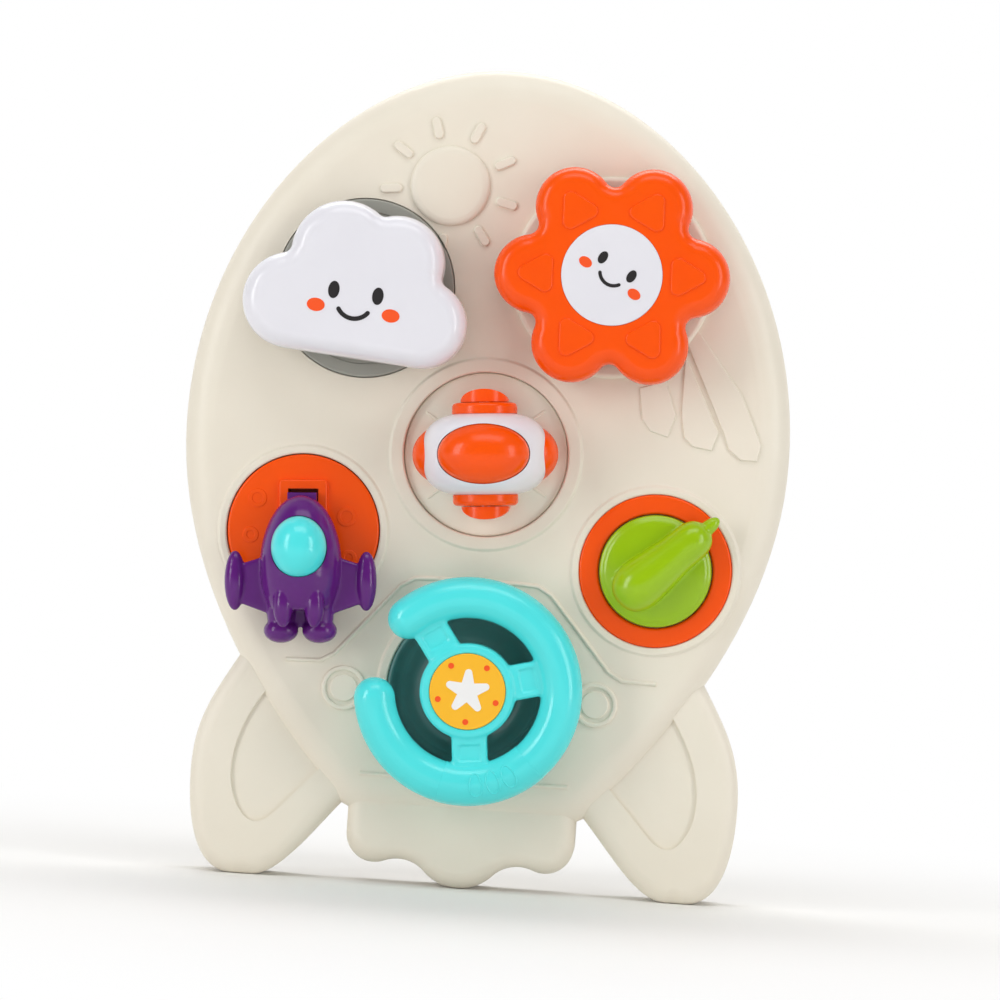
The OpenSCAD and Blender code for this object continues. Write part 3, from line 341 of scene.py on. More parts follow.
def moulded(name, colour, shade, rough, grain=0.9, depth=0.012, coat=0.0, ior=1.45):
    """Moulded plastic: two close tints in slow flow marks, roughness that wanders, and a fine grain."""
    material = bpy.data.materials.new(name)
    material.use_nodes = True
    tree = material.node_tree
    shader = tree.nodes["Principled BSDF"]
    shader.inputs["IOR"].default_value = ior
    shader.inputs["Coat Weight"].default_value = coat
    shader.inputs["Coat Roughness"].default_value = 0.08
    place = add(tree, "ShaderNodeTexCoord").outputs["Object"]
    flow = add(tree, "ShaderNodeTexNoise", {"Scale": per_mm(45), "Detail": 3, "Distortion": 0.6}, {"Vector": place})
    tint = add(tree, "ShaderNodeMix", {6: linear(colour), 7: linear(shade)}, {0: flow.outputs["Fac"]},
               data_type="RGBA")
    patch = add(tree, "ShaderNodeTexNoise", {"Scale": per_mm(7), "Detail": 4}, {"Vector": place})
    wander = add(tree, "ShaderNodeMapRange", {"To Min": rough - 0.05, "To Max": rough + 0.06},
                 {"Value": patch.outputs["Fac"]})
    skin = add(tree, "ShaderNodeTexNoise", {"Scale": per_mm(grain), "Detail": 2}, {"Vector": place})
    bump = add(tree, "ShaderNodeBump", {"Strength": 0.5, "Distance": depth * MM},
               {"Height": skin.outputs["Fac"]})
    tree.links.new(tint.outputs[2], shader.inputs["Base Color"])
    tree.links.new(wander.outputs["Result"], shader.inputs["Roughness"])
    tree.links.new(bump.outputs["Normal"], shader.inputs["Normal"])
    return material


# %% The toy's finishes
# Satin, from a spark-eroded mould: a fine grain that spreads every highlight.
cream_abs = moulded("cream_ABS_satin", "#EEE7D8", "#E7DFCE", 0.40, grain=1.1, depth=0.03)
# Painted light: a copy of the cream, lighter and less red, that cancels the shade the roller casts on its dish and the
# orange light it throws there.
cream_abs_painted_lighter = moulded("cream_ABS_satin_painted_lighter", "#F2F3E4", "#EBEBDA", 0.42, grain=1.1, depth=0.02)
# Gloss, from a polished mould: a hard skin with small bright highlights.
white_abs = moulded("white_ABS_gloss", "#EAE9EF", "#E3E2E9", 0.22, coat=0.15)
orange_abs = moulded("orange_ABS_gloss", "#FF5A00", "#F94E00", 0.24, coat=0.04, ior=1.36)
purple_abs = moulded("purple_ABS_gloss", "#651F80", "#58186F", 0.20, coat=0.08, ior=1.40)
turquoise_abs = moulded("turquoise_ABS_gloss", "#58EBEC", "#4CE0E3", 0.22, coat=0.15)
green_abs = moulded("green_ABS_gloss", "#9FC804", "#92BA00", 0.24, coat=0.12)
# The turntable is satin again, and the clear dish is polished, deep and dark with streaks like a mirror's.
grey_abs = moulded("grey_ABS_satin", "#A6A69D", "#9A9A92", 0.38)
smoke_styrene = moulded("smoky_polystyrene_polished", "#74A09E", "#66908E", 0.10, grain=3, depth=0.004, coat=0.6)
# Printed film and screen ink: even, and a little matt.
yellow_print = moulded("yellow_printed_film", "#FFC22F", "#FCB921", 0.34)
dark_ink = moulded("black_screen_ink", "#1D1A1C", "#262224", 0.42)
orange_ink = moulded("orange_screen_ink", "#FB5A1E", "#F55014", 0.42)
white_ink = moulded("white_screen_ink", "#F6F5F4", "#EFEEEE", 0.42)
print("finishes:", len(bpy.data.materials))

# %% [markdown]
# ## The housing
# Body, fins and flame are cream mouldings. The body is an egg with a flat chin and a broad rounded front edge, and
# it stands in front of the fins and the flame, which close against it. Each form is lofted through a stack of
# outlines. Only a shell's outside shows, so the inside stays solid behind the back cover.

# %% Outlines of body, fins and flame
FACE = 38
BOARD_H, HALF_W, WIDEST = 359, 132.5, 197
CHIN_H, HALF_CHIN, TAPER, CORNER = 31, 51, math.radians(44), 8
EDGE_W, EDGE_DROP = 14, 11
FIN_FACE, FLAME_FACE = 34, 35


def body_outline(inset):
    top, wide = (0, BOARD_H - inset), (HALF_W - inset, WIDEST)
    lean = (math.sin(TAPER), math.cos(TAPER))
    corner = (HALF_CHIN - inset * (1 / math.cos(TAPER) - math.tan(TAPER)), CHIN_H + inset)
    start = (corner[0] + CORNER * lean[0], corner[1] + CORNER * lean[1])
    end = (corner[0] - CORNER, corner[1])
    side = bezier(top, (0.51 * wide[0], top[1]), (wide[0], wide[1] + 0.56 * (top[1] - wide[1])), wide, 40)
    side += bezier(wide, (wide[0], wide[1] - 74), (start[0] + 36 * lean[0], start[1] + 36 * lean[1]), start, 26)
    side += bezier(start, (start[0] - 4.4 * lean[0], start[1] - 4.4 * lean[1]), (end[0] + 4.4, end[1]), end, 8)
    side.append(end)
    return [(-x, y) for x, y in side] + [side[i] for i in range(len(side) - 1, 0, -1)]


def fin_outline(inset):
    root = (47.5 + 0.76 * inset, 40.5 + 0.65 * inset)
    toe, heel = (90.5 + 0.25 * inset, inset), (99.5 - 0.2 * inset, inset)
    wide, top = (120.3 - inset, 43), (99 - 0.87 * inset, 101 - 0.5 * inset)
    return (bezier(root, (root[0] + 16, root[1] - 16), (toe[0] - 14, toe[1] + 1), toe, 22)
            + bezier(toe, toe, heel, heel, 3)
            + bezier(heel, (heel[0] + 17, heel[1]), (wide[0], wide[1] - 19), wide, 22)
            + bezier(wide, (wide[0], wide[1] + 24), (top[0] + 14, top[1] - 24), top, 22) + [top, (56, 78)])


FLAME_MID, FLAME_RIGHT, FLAME_LEFT, FLAME_HOLLOW = (0, 21, 21), (37.5, 21.5, 12.5), (-37.5, 21.5, 12.5), 16


def flame_outline(inset, f=FLAME_HOLLOW):
    top, half = CHIN_H + 12, 50 - inset
    left_hollow, right_hollow = hollow_at(FLAME_LEFT, FLAME_MID, f), hollow_at(FLAME_MID, FLAME_RIGHT, f)
    return ([(-half, top)] + lobe_arc((-60, 21.5), FLAME_LEFT, left_hollow, inset)
            + hollow_arc(FLAME_LEFT, FLAME_MID, f, inset) + lobe_arc(left_hollow, FLAME_MID, right_hollow, inset)
            + hollow_arc(FLAME_MID, FLAME_RIGHT, f, inset) + lobe_arc(right_hollow, FLAME_RIGHT, (60, 21.5), inset)
            + [(half, top)])


def stack(outline, high, width, drop, steps):
    """Rings of a moulding with a small back edge and a front edge that is a quarter of an ellipse."""
    rows = [(0.5, 0), (0, 0.5)]
    rows += [(width * (1 - math.cos(a)), high - drop * (1 - math.sin(a))) for a in quarter(steps)]
    return [[(x, y, height) for x, y in outline(inset)] for inset, height in rows]


# %% Loft body, fins and flame
def mirrored(rings):
    return [[(-x, y, z) for x, y, z in reversed(ring)] for ring in rings]


fin_rings = stack(fin_outline, FIN_FACE, 8, 6, 10)
housing = lofted("housing", stack(body_outline, FACE, EDGE_W, EDGE_DROP, 16))
fin_right = lofted("fin_right", fin_rings)
fin_left = lofted("fin_left", mirrored(fin_rings))
flame = lofted("flame", stack(flame_outline, FLAME_FACE, 7.5, 7, 10))
for piece in (housing, fin_right, fin_left, flame):
    print(piece.name, len(piece.data.polygons), "faces")

# %% [markdown]
# ## What is moulded into the panel
# Around each activity runs a low ring. A sun, a fan of comet bands, a dashboard line and two gauges are embossed
# about a millimetre high. They are made as small bevelled solids that stand in the panel and are united with the
# housing one after another, because solids that overlap each other confuse a single big union.

# %% Embossed pattern
CLOUD_AT, FLOWER_AT, ROLLER_AT = (-57.4, 259.7), (50.2, 271.3), (0.2, 190.6)
PLANE_AT, KNOB_AT, WHEEL_AT = (-77.3, 152.2), (77.5, 144.8), (0, 87.5)
PLANE_WELL, KNOB_WELL, ROLLER_WELL, WHEEL_WELL = 33.6, 33.5, 35.9, 36.3
SINK, FOOT = FACE - 1.5, 1.2
pattern = []


def seat_ring(at, inner, outer, rise=1.2, edge=1.0):
    """Low ring whose outer foot runs out into the panel in a small fillet."""
    top = ring_profile(inner, outer, SINK, FACE + rise, edge)
    foot = [(outer + FOOT - FOOT * math.sin(a), FACE - 0.06 + 0.75 * (1 - math.cos(a))) for a in quarter(5)]
    upper = [p for p in top[2:] if p[1] > foot[-1][1] or p[0] < outer - edge]
    return moved(turned("seat_ring", [(inner, SINK), (outer + FOOT, SINK)] + foot[:-1] + upper), *at)


for at, inner, outer in ((PLANE_AT, PLANE_WELL, 37.2), (KNOB_AT, KNOB_WELL, 37.0), (ROLLER_AT, ROLLER_WELL, 42.0),
                         (WHEEL_AT, WHEEL_WELL, 40.5)):
    pattern.append(seat_ring(at, inner, outer))
pattern.append(moved(turned("plinth", puck(44, SINK, FACE + 3, 2.2)), *FLOWER_AT))

SUN_AT, SUN_R = (-23.3, 306.7), 17.5
sun_profile = [(0, SINK), (SUN_R, SINK), (SUN_R, FACE + 0.2)]
sun_profile += [(SUN_R - 3.6 + 3.6 * math.cos(a), FACE + 0.2 + 2.1 * math.sin(a))
                for a in quarter(8)[1:]] + [(0, FACE + 2.6)]
pattern.append(moved(turned("sun", sun_profile), *SUN_AT))
ray = plate("ray", arc((28.8, 0), 2.1, -90, 90, 10) + arc((23, 0), 2.1, 90, 270, 10), SINK, FACE + 1.2, 0.8, 4)
for k in range(9):
    pattern.append(copied(ray, x=SUN_AT[0], y=SUN_AT[1], turn=106 + 40 * k))
bpy.data.objects.remove(ray)

BANDS = (((65, 224), (67, 211), (71, 205.5), (79, 203.3), (82, 213.5), (76.5, 228)),
         ((84, 213.5), (86, 203.7), (90, 200), (98.5, 198.8), (101, 207), (84, 240)),
         ((103, 207), (105.5, 200), (111, 195.5), (118.5, 195.5), (120, 202.5), (110, 224), (88, 252), (84, 246)))
for k, band in enumerate(BANDS):
    pattern.append(plate("comet_band", band, SINK, FACE + 0.9 + 0.15 * k, 0.6, 3))

DASH = [(-81, 95.5), (-66, 96), (-60, 99.5), (-33, 131), (-27, 134.6), (-20, 135)]
dash_path = [(x, y, FACE) for x, y in DASH] + [(-x, y, FACE) for x, y in reversed(DASH)]
pattern.append(line("dash_line", dash_path, 1.0))
for s in (-1, 1):
    pattern.append(line("chin_line", [(30 * s, 48, FACE), (45.5 * s, 48, FACE)], 0.9))
    at = (55 * s, 84.7)
    pattern.append(moved(turned("gauge_ring", ring_profile(7.7, 9.8, SINK, FACE + 1.1, 0.8), 64), *at))
    pattern.append(moved(turned("gauge_dial", puck(6.0, SINK, FACE + 0.8, 0.6), 64), *at))
for piece in pattern:
    solid(housing, piece, "UNION")
print("embossed pieces:", len(pattern), "housing faces:", len(housing.data.polygons))

# %% [markdown]
# ## Wells, fin panels and the back
# The activities sit in round wells. The fins have a sunk panel that follows their outline and runs in under the
# body. Behind, the shell's rim stands round the back cover, so a shallow pocket with the cover's outline is cut.

# %% Cut the wells, the fin panels and the back pocket
def fin_panel():
    """Outline of a fin's sunk panel, open towards the body, which covers its inner side."""
    low, out, side, high = (82, 28.2), (95.6, 26), (102.2, 47), (88, 83)
    return ([(58, 54.5)] + bezier(low, (86, 24), (91, 21.6), out, 12) + bezier(out, (100.4, 31), (102.5, 39), side, 12)
            + bezier(side, (101.6, 60), (96, 72), high, 16) + [high, (60, 83)])


for at, radius, floor in ((CLOUD_AT, 39.4, 35), (ROLLER_AT, ROLLER_WELL, 12.5), (PLANE_AT, PLANE_WELL, 25),
                          (KNOB_AT, KNOB_WELL, 34.5), (WHEEL_AT, WHEEL_WELL, 23)):
    well = turned("well", [(0, floor), (radius, floor), (radius, FACE + 5), (0, FACE + 5)])
    solid(housing, moved(well, *at), "DIFFERENCE")
for fin, s in ((fin_right, 1), (fin_left, -1)):
    outline = [(s * x, y) for x, y in fin_panel()][::s]
    panel = plate("fin_panel", outline, FIN_FACE - 1.5, FIN_FACE + 3)
    solid(fin, panel, "DIFFERENCE")
# The cover lies this far inside the rim, and keeps a tighter hollow between the lobes than the flame's front has.
COVER_INSET, COVER_HOLLOW = 2.4, 7
fin_pocket = fin_outline(COVER_INSET)
POCKETS = (body_outline(COVER_INSET), fin_pocket, [(-x, y) for x, y in reversed(fin_pocket)],
           flame_outline(COVER_INSET, COVER_HOLLOW))
for piece, name, node in ((housing, "rocket_housing", "front_shell"), (fin_right, "fin_right_moulding", "fin_right"),
                          (fin_left, "fin_left_moulding", "fin_left"), (flame, "flame_moulding", "flame")):
    for outline in POCKETS:
        solid(piece, plate("pocket", outline, -2, 8), "DIFFERENCE")
    rounded(clean(piece), 0.45, 2, 38)
    soft(piece)
    settle(piece, name, "board", "cream_shell", cream_abs, [node])

# %% [markdown]
# ## The cloud
# A hollow white shell on a grey turntable. Its outline is four lobes with a flat underside, and its front edge is
# rounded so broadly that the lobes look inflated. Outline, extrude, bevel is the whole recipe. Behind, a pocket
# takes the CAD closing plate.

# %% Cloud shell
CLOUD_LEFT, CLOUD_RIGHT = (-29.8, -10.8, 20.8), (28, -12.4, 19.2)
CLOUD_CREST, CLOUD_CROWN, CLOUD_HOLLOW = (13.5, 12.2, 20.3), (-9.9, 12.6, 22.9), 4
CLOUD_BACK, CLOUD_FRONT, CLOUD_TURN = 47, 69, -5


def cloud_outline(inset):
    f = CLOUD_HOLLOW
    right = hollow_at(CLOUD_RIGHT, CLOUD_CREST, f)
    top = hollow_at(CLOUD_CREST, CLOUD_CROWN, f)
    left = hollow_at(CLOUD_CROWN, CLOUD_LEFT, f)
    return (lobe_arc(left, CLOUD_LEFT, (CLOUD_LEFT[0], -99), inset)
            + lobe_arc((CLOUD_RIGHT[0], -99), CLOUD_RIGHT, right, inset)
            + hollow_arc(CLOUD_RIGHT, CLOUD_CREST, f, inset) + lobe_arc(right, CLOUD_CREST, top, inset)
            + hollow_arc(CLOUD_CREST, CLOUD_CROWN, f, inset) + lobe_arc(top, CLOUD_CROWN, left, inset)
            + hollow_arc(CLOUD_CROWN, CLOUD_LEFT, f, inset))


cloud = plate("cloud", cloud_outline(0), CLOUD_BACK, CLOUD_FRONT, 7.5, 14, 0.6)
solid(cloud, plate("pocket", cloud_outline(2), CLOUD_BACK - 2, CLOUD_BACK + 2.4), "DIFFERENCE")
soft(cloud)
settle(cloud, "cloud_moulding", "cloud", "white_plastic", white_abs, ["cloud_shell"], *CLOUD_AT, CLOUD_TURN)

# %% Grey turntable
JOURNAL_R = 8  # every turning piece runs on a journal of this radius
table = turned("table", [(0, 27.3), (JOURNAL_R, 27.3), (JOURNAL_R, 35.3), (38.4, 35.3), (39, 35.9)]
               + [(38 + math.cos(a), 37.5 + math.sin(a)) for a in quarter(5)]
               + [(33.4, 38.5), (33, 38.1), (31.6, 38.1), (31.2, 38.5), (14, 38.5), (14, 47), (0, 47)])
soft(table)
settle(table, "cloud_turntable_disc", "cloud", "grey_table", grey_abs, ["cloud_turntable"], *CLOUD_AT, CLOUD_TURN)

# %% [markdown]
# ## Printed faces
# The cloud and the flower have a plain smiling face in screen ink. Ink is a film far thinner than a hair; it is
# drawn here 0.12 mm thick so that it has a real edge. Eyes and cheeks are small plates, and a smile is a bent
# stroke with round ends.

# %% Ink shapes
INK = 0.12


def stroke(centre, radius, start, end, width, count=28):
    """Outline of a bent stroke with round ends."""
    outer, inner = radius + width / 2, radius - width / 2
    return (arc(centre, outer, start, end, count)
            + arc(polar(radius, end, centre), width / 2, end, end + 180, 8)[1:-1]
            + arc(centre, inner, end, start, count)
            + arc(polar(radius, start, centre), width / 2, start + 180, start + 360, 8)[1:-1])


def shifted(outline, dx, dy):
    return [(x + dx, y + dy) for x, y in outline]


def print_face(name, at, turn, height, body, size):
    """A generic smile: two oval eyes, a bent mouth and two plain cheeks, size times their drawn measures."""
    dark = [plate("eye", shifted(oval(1.9 * size, 2.9 * size, 40), 7.4 * s * size, 4.2 * size), height, height + INK)
            for s in (-1, 1)]
    dark.append(plate("smile", stroke((0, 1.6 * size), 6 * size, 215, 325, 1.5 * size), height, height + INK))
    blush = [plate("cheek", shifted(oval(3.0 * size, 2.2 * size, 40), 12.6 * s * size, -1.6 * size), height,
                   height + INK) for s in (-1, 1)]
    settle(joined(dark), name + "_ink", body, "white_plastic", dark_ink, (), *at, turn)
    settle(joined(blush), name + "_cheeks", body, "white_plastic", orange_ink, (), *at, turn)


cloud_face_at = (CLOUD_AT[0] - 2.5, CLOUD_AT[1] - 9)
print_face("cloud_face", cloud_face_at, CLOUD_TURN, CLOUD_FRONT, "cloud", 1.3)

# %% [markdown]
# ## The flower
# Six petals with deep hollows, cut from the same kind of outline, with a round white face in a shallow seat and
# a raised rounded triangle on each petal. The triangle is modelled once and turned six times.

# %% Flower shell
PETALS = [(*polar(34.1, 60 * k), 17) for k in range(6)]
FLOWER_BACK, FLOWER_FRONT, FLOWER_TURN, PETAL_HOLLOW = 46, 66, 2, 4.6
FACE_SEAT, FACE_TOP = 64.8, 66.4


def flower_outline(inset):
    points = []
    for k in range(6):
        before, lobe, after = PETALS[k - 1], PETALS[k], PETALS[(k + 1) % 6]
        points += lobe_arc(hollow_at(before, lobe, PETAL_HOLLOW), lobe, hollow_at(lobe, after, PETAL_HOLLOW), inset)
        points += hollow_arc(lobe, after, PETAL_HOLLOW, inset)
    return points


flower = plate("flower", flower_outline(0), FLOWER_BACK, FLOWER_FRONT, 6.8, 14, 0.6)
solid(flower, plate("pocket", flower_outline(2), FLOWER_BACK - 2, FLOWER_BACK + 2.4), "DIFFERENCE")
solid(flower, turned("face_seat", [(0, FACE_SEAT), (22, FACE_SEAT), (22, 70), (0, 70)]), "DIFFERENCE")
corners = [p for k in range(3) for p in arc(polar(5.8, 120 * k), 3.2, 120 * k - 60, 120 * k + 60, 10)]
triangle = plate("triangle", corners, FLOWER_FRONT - 1, FLOWER_FRONT + 0.8, 0.7, 5)
for k in range(6):
    x, y = polar(31.6, 60 * k)
    solid(flower, copied(triangle, x=x, y=y, turn=60 * k), "UNION")
bpy.data.objects.remove(triangle)
rounded(flower, 0.4, 3, 50)
soft(flower)
settle(flower, "flower_moulding", "flower", "orange_plastic", orange_abs, ["flower_shell"], *FLOWER_AT, FLOWER_TURN)
disc = soft(turned("flower_disc", puck(21.9, FACE_SEAT, FACE_TOP, 0.5, 0.2)))
settle(disc, "flower_face_disc", "flower", "white_plastic", white_abs, ["flower_face"], *FLOWER_AT, FLOWER_TURN)
print_face("flower_face", FLOWER_AT, -30, FACE_TOP, "flower", 1.0)

# %% [markdown]
# ## The roller
# A white barrel with three orange domes turns on an axle between two yoke arms. The arms stand on a cream dish that
# turns too, with a trough that clears the roller. Barrel, domes and trough are bodies of revolution, so they are
# spun; the barrel is cut by the domes, grown by a hair, which leaves the fine dark line round each window.

# %% Barrel, domes, caps
AXLE_Z, BARREL_R, BARREL_HALF, ROLLER_TURN = 48.0, 27.2, 18, 4.5
DOME_R, DOME_HALF, DOME_TOP = 13.5, 19.9, 32.6


def barrel_at(y):
    return BARREL_R * (1 - min(1, abs(y) / (BARREL_HALF + 0.4)) ** 3) ** (1 / 3)


def along_axle(piece):
    """Lays a piece that was spun about z along the axle."""
    return moved(piece, 0, 0, AXLE_Z, 0, -90)


heights = [BARREL_HALF * math.sin(math.pi / 2 * k / 24) for k in range(-24, 25)]
barrel = turned("barrel", [(8.6, -BARREL_HALF)] + [(barrel_at(y), y) for y in heights] + [(8.6, BARREL_HALF)], 144)


def dome(grow):
    """Egg that lies across the front of the barrel."""
    return moved(egg("dome", DOME_R + grow, DOME_HALF + grow, 64), 0, DOME_R - DOME_TOP, 0, 90, 90)


domes = dome(0)
solid(barrel, turned("core", [(0, -20), (11, -20), (11, 20), (0, 20)]), "DIFFERENCE")
for k in range(3):
    solid(barrel, moved(dome(0.3), turn=120 * k), "DIFFERENCE")
domes = joined([domes] + [copied(domes, turn=120 * k) for k in (1, 2)])
drum = turned("drum", [(2.6, -17), (10.8, -17), (10.8, 17), (2.6, 17)])
finish_modifier(domes, "REMESH", mode="VOXEL", voxel_size=0.7)
finish_modifier(domes, "SMOOTH", factor=0.5, iterations=6)
rounded(barrel, 0.5, 3, 40)
settle(soft(along_axle(barrel)), "roller_barrel_shell", "roller", "white_plastic", white_abs, ["roller_barrel"],
       *ROLLER_AT, ROLLER_TURN)
settle(soft(along_axle(joined([domes, drum]))), "roller_domes", "roller", "orange_plastic", orange_abs,
       ["roller_drum"], *ROLLER_AT, ROLLER_TURN)
caps = []
for s in (-1, 1):
    cap = turned("cap", ring_profile(2.6, 14.2, 17.6, 22.4, 2.0))
    caps.append(cap if s > 0 else moved(cap, tip=180))
settle(soft(along_axle(joined(caps))), "roller_caps", "roller", "orange_plastic", orange_abs, ["roller_end_caps"],
       *ROLLER_AT, ROLLER_TURN)

# %% Yoke arms
DISH_Z, ARM_R, ARM_IN, ARM_T = 36, 10.5, 22.7, 5.6
arms = []
for s in (-1, 1):
    front = [(ARM_R * math.cos(a), s * (ARM_IN + ARM_T * math.sin(a))) for a in [math.pi * k / 36 for k in range(37)]]
    arm = plate("arm", front, DISH_Z - 3, AXLE_Z + ARM_R + 2)
    arch = plate("arch", arc((0, AXLE_Z), ARM_R, 0, 180, 40) + [(-ARM_R, DISH_Z - 4), (ARM_R, DISH_Z - 4)], -40, 40)
    solid(arm, moved(arch, tip=90), "INTERSECT")
    arms.append(rounded(arm, 0.9, 4, 50))
settle(soft(joined(arms)), "roller_yoke_arms", "roller_carrier", "orange_plastic", orange_abs, ["roller_yoke"],
       *ROLLER_AT, ROLLER_TURN)


# %% Dish with a trough under the roller
def trough(gap):
    """What barrel and domes sweep as they spin, and a gap round it."""
    rows = [(0, -BARREL_HALF - gap)]
    for y in heights:
        sweep = DOME_TOP - DOME_R + math.sqrt(DOME_R ** 2 - y * y) if abs(y) < DOME_R else 0
        rows.append((max(barrel_at(y), sweep) + gap, y * (1 + gap / BARREL_HALF)))
    return along_axle(turned("trough", rows + [(0, BARREL_HALF + gap)], 144))


dish = turned("dish", puck(35.75, DISH_Z - 5, DISH_Z, 0.8))
solid(dish, trough(0.6), "DIFFERENCE")
pan = trough(2.6)
solid(pan, box("upper", -60, 60, -60, 60, DISH_Z - 3, 120), "DIFFERENCE")
solid(pan, turned("hub", [(0, 9.2), (JOURNAL_R, 9.2), (JOURNAL_R, 12.8), (12, 12.8), (12, 17.8), (0, 17.8)]), "UNION")
solid(pan, trough(0.6), "DIFFERENCE")
outline = arc((31.4, 0), 0.6, -90, 90, 6) + arc((26, 0), 0.6, 90, 270, 6)
ribs = [moved(plate("rib", outline, DISH_Z - 1, DISH_Z + 0.5, 0.4, 3), turn=a) for a in (36, 144, 216, 324)]
dish = joined([dish, pan] + ribs)
# The dish floor takes the lightened cream: painted light in place of the roller's shade.
settle(soft(dish), "roller_dish_floor", "roller_carrier", "cream_shell", cream_abs_painted_lighter, ["roller_dish"], *ROLLER_AT,
       ROLLER_TURN)

# %% [markdown]
# ## The plane lever
# An orange disc with a framed slot, and in the slot a purple plane on an arm. The plane is one blown-looking
# moulding: egg hull, swept wings with pods, two legs with boots, all running into each other. Separate forms are
# spun and bevelled, then a voxel remesh melts them together and a little smoothing leaves the soft hollows.

# %% Orange disc
PLANE_TURN = 3.5
disc = turned("plane_disc", [(0, 14.6), (JOURNAL_R, 14.6), (JOURNAL_R, 25.3), (32.7, 25.3), (33.2, 25.8)]
              + [(32 + 1.2 * math.cos(a), 37.8 + 1.2 * math.sin(a)) for a in quarter(6)]
              + [(0, 39)])
collar = box("collar", -10.6, 10.6, -8, 22.2, 37, 41, 1.0)
rounded(collar, 1.6, 4, 60)
solid(disc, collar, "UNION")
solid(disc, box("slot", -6.65, 6.65, -4, 18.2, 27.7, 45), "DIFFERENCE")
for x, y, r in ((-20, 14, 3.2), (-23, -2, 2.6), (19, 6, 3.4), (20, -12, 2.6), (-14, -22, 3.0), (8, -26, 2.8)):
    crater = turned("crater", ring_profile(r - 0.9, r + 0.9, 38, 39.3, 0.28), 40)
    solid(disc, moved(crater, x, y), "UNION")
rounded(disc, 0.4, 2, 45)
settle(soft(disc), "plane_turntable_disc", "plane_turntable", "orange_plastic", orange_abs, ["plane_disc"], *PLANE_AT,
       PLANE_TURN)

# %% Plane hull
HULL_Z, HULL_FLAT = 52, 49


def lying(piece, x, y, z):
    """Lays a spun piece along y, with its upper end towards the nose, and puts it in place."""
    return moved(piece, x, y, z, 0, -90)


hull_rows = [(0, -34.6), (10.5, -34.6), (13.2, -34), (14.4, -32.4), (15.8, -28.6), (17.0, -24.2), (17.6, -20)]
hull_rows += [(17.8 * math.cos(a), -16 + 31.2 * math.sin(a)) for a in quarter(24)]
forms = [lying(turned("hull", [(max(0, r), z) for r, z in hull_rows], 96), 0, 0, HULL_Z),
         box("web", -8, 8, -42, -30, HULL_FLAT - 1, HULL_FLAT + 4)]
for s in (-1, 1):
    forms.append(lying(egg("pod", 4.6, 13), 28.6 * s, -22, HULL_Z + 0.5))
    wing = [(8 * s, -9), (8 * s, -38.5), (28.6 * s, -31), (28.6 * s, -15.5)]
    forms.append(plate("wing", wing if s < 0 else wing[::-1], HULL_Z - 2.5, HULL_Z + 2.5, 1.2, 4, 1.2))
    forms.append(lying(egg("leg_ridge", 4.3, 9.6), 6.8 * s, -32.5, HULL_Z + 11.4))
    leg = turned("leg", [(0, -44), (5.6, -44), (5.9, -40), (6.4, -34), (6.4, -27), (0, -27)])
    forms.append(lying(leg, 8.4 * s, 0, HULL_Z))
    forms.append(lying(egg("boot", 7.6, 5.5), 8.4 * s, -43.6, HULL_Z))
plane = joined(forms)
finish_modifier(plane, "REMESH", mode="VOXEL", voxel_size=0.45)
finish_modifier(plane, "SMOOTH", factor=0.5, iterations=7)
solid(plane, box("under", -60, 60, -60, 60, 20, HULL_FLAT), "DIFFERENCE")
CANOPY_Y, CANOPY_Z = -7.2, 65.5
seat = egg("canopy_seat", 12.35, 13.75)
solid(plane, lying(seat, 0, CANOPY_Y, CANOPY_Z), "DIFFERENCE")
rounded(plane, 0.5, 3, 45)
settle(soft(plane, 45), "plane_hull_moulding", "plane", "purple_plastic", purple_abs, ["plane_hull"], *PLANE_AT,
       PLANE_TURN)
canopy = lying(egg("canopy", 12, 13.4), 0, CANOPY_Y, CANOPY_Z)
settle(soft(canopy), "plane_canopy_dome", "plane", "turquoise_plastic", turquoise_abs, ["plane_canopy"], *PLANE_AT,
       PLANE_TURN)

# %% [markdown]
# ## The knob
# A green domed disc carries a pear-shaped grip, and an orange ring frames it. Disc and grip are one moulding that
# runs together softly, so the two spun forms are melted by a voxel remesh like the plane.

# %% Knob and bezel
KNOB_TURN, PEAR_Z = 43.5, 47
dome_rows = [(0, 34.8), (24.1, 34.8), (24.5, 35.2), (24.5, 41.4), (24.2, 42.2), (23.4, 42.6)]
dome_rows += [(23.0 * math.cos(a), 42.5 + 3.2 * math.sin(a)) for a in quarter(16)]
pear_rows = (bezier((0, -21), (9.5, -21), (11.5, -13), (11, -7), 14)
             + bezier((11, -7), (10.4, 2), (8.8, 8), (8.8, 18), 14)
             + bezier((8.8, 18), (8.8, 25), (6, 29.5), (0, 29.5), 14) + [(0, 29.5)])
knob = turned("knob", [(max(0, r), z) for r, z in dome_rows])
pear = moved(turned("pear", pear_rows, 96), 0, 0, PEAR_Z, -90, -90)
solid(pear, box("under", -60, 60, -60, 60, 0, 40), "DIFFERENCE")
leaf = moved(egg("leaf", 3.2, 6.5), 29.5, 0, PEAR_Z, -90, -90)
knob = joined([knob, pear, leaf])
finish_modifier(knob, "REMESH", mode="VOXEL", voxel_size=0.45)
finish_modifier(knob, "SMOOTH", factor=0.5, iterations=8)
shaft = turned("shaft", [(0, 22), (JOURNAL_R, 22), (JOURNAL_R, 36), (0, 36)])
solid(knob, shaft, "UNION")
settle(soft(knob, 50), "knob_pear", "knob", "green_plastic", green_abs, ["pear_knob"], *KNOB_AT, KNOB_TURN)
bezel = soft(turned("bezel", ring_profile(24.9, 33.4, 34.5, 39.2, 1.2)))
settle(bezel, "knob_bezel_ring", "board", "orange_plastic", orange_abs, ["knob_bezel"], *KNOB_AT)

# %% [markdown]
# ## The steering wheel
# An open rim on three spokes. A circle swept round most of a turn gives the rim, and its two ends are closed by
# shrinking end rings, which make a round end without a seam. Hub and spokes are melted into it by a voxel remesh.
# The rim's back, which is open in the CAD solid, is closed here, because it never shows.

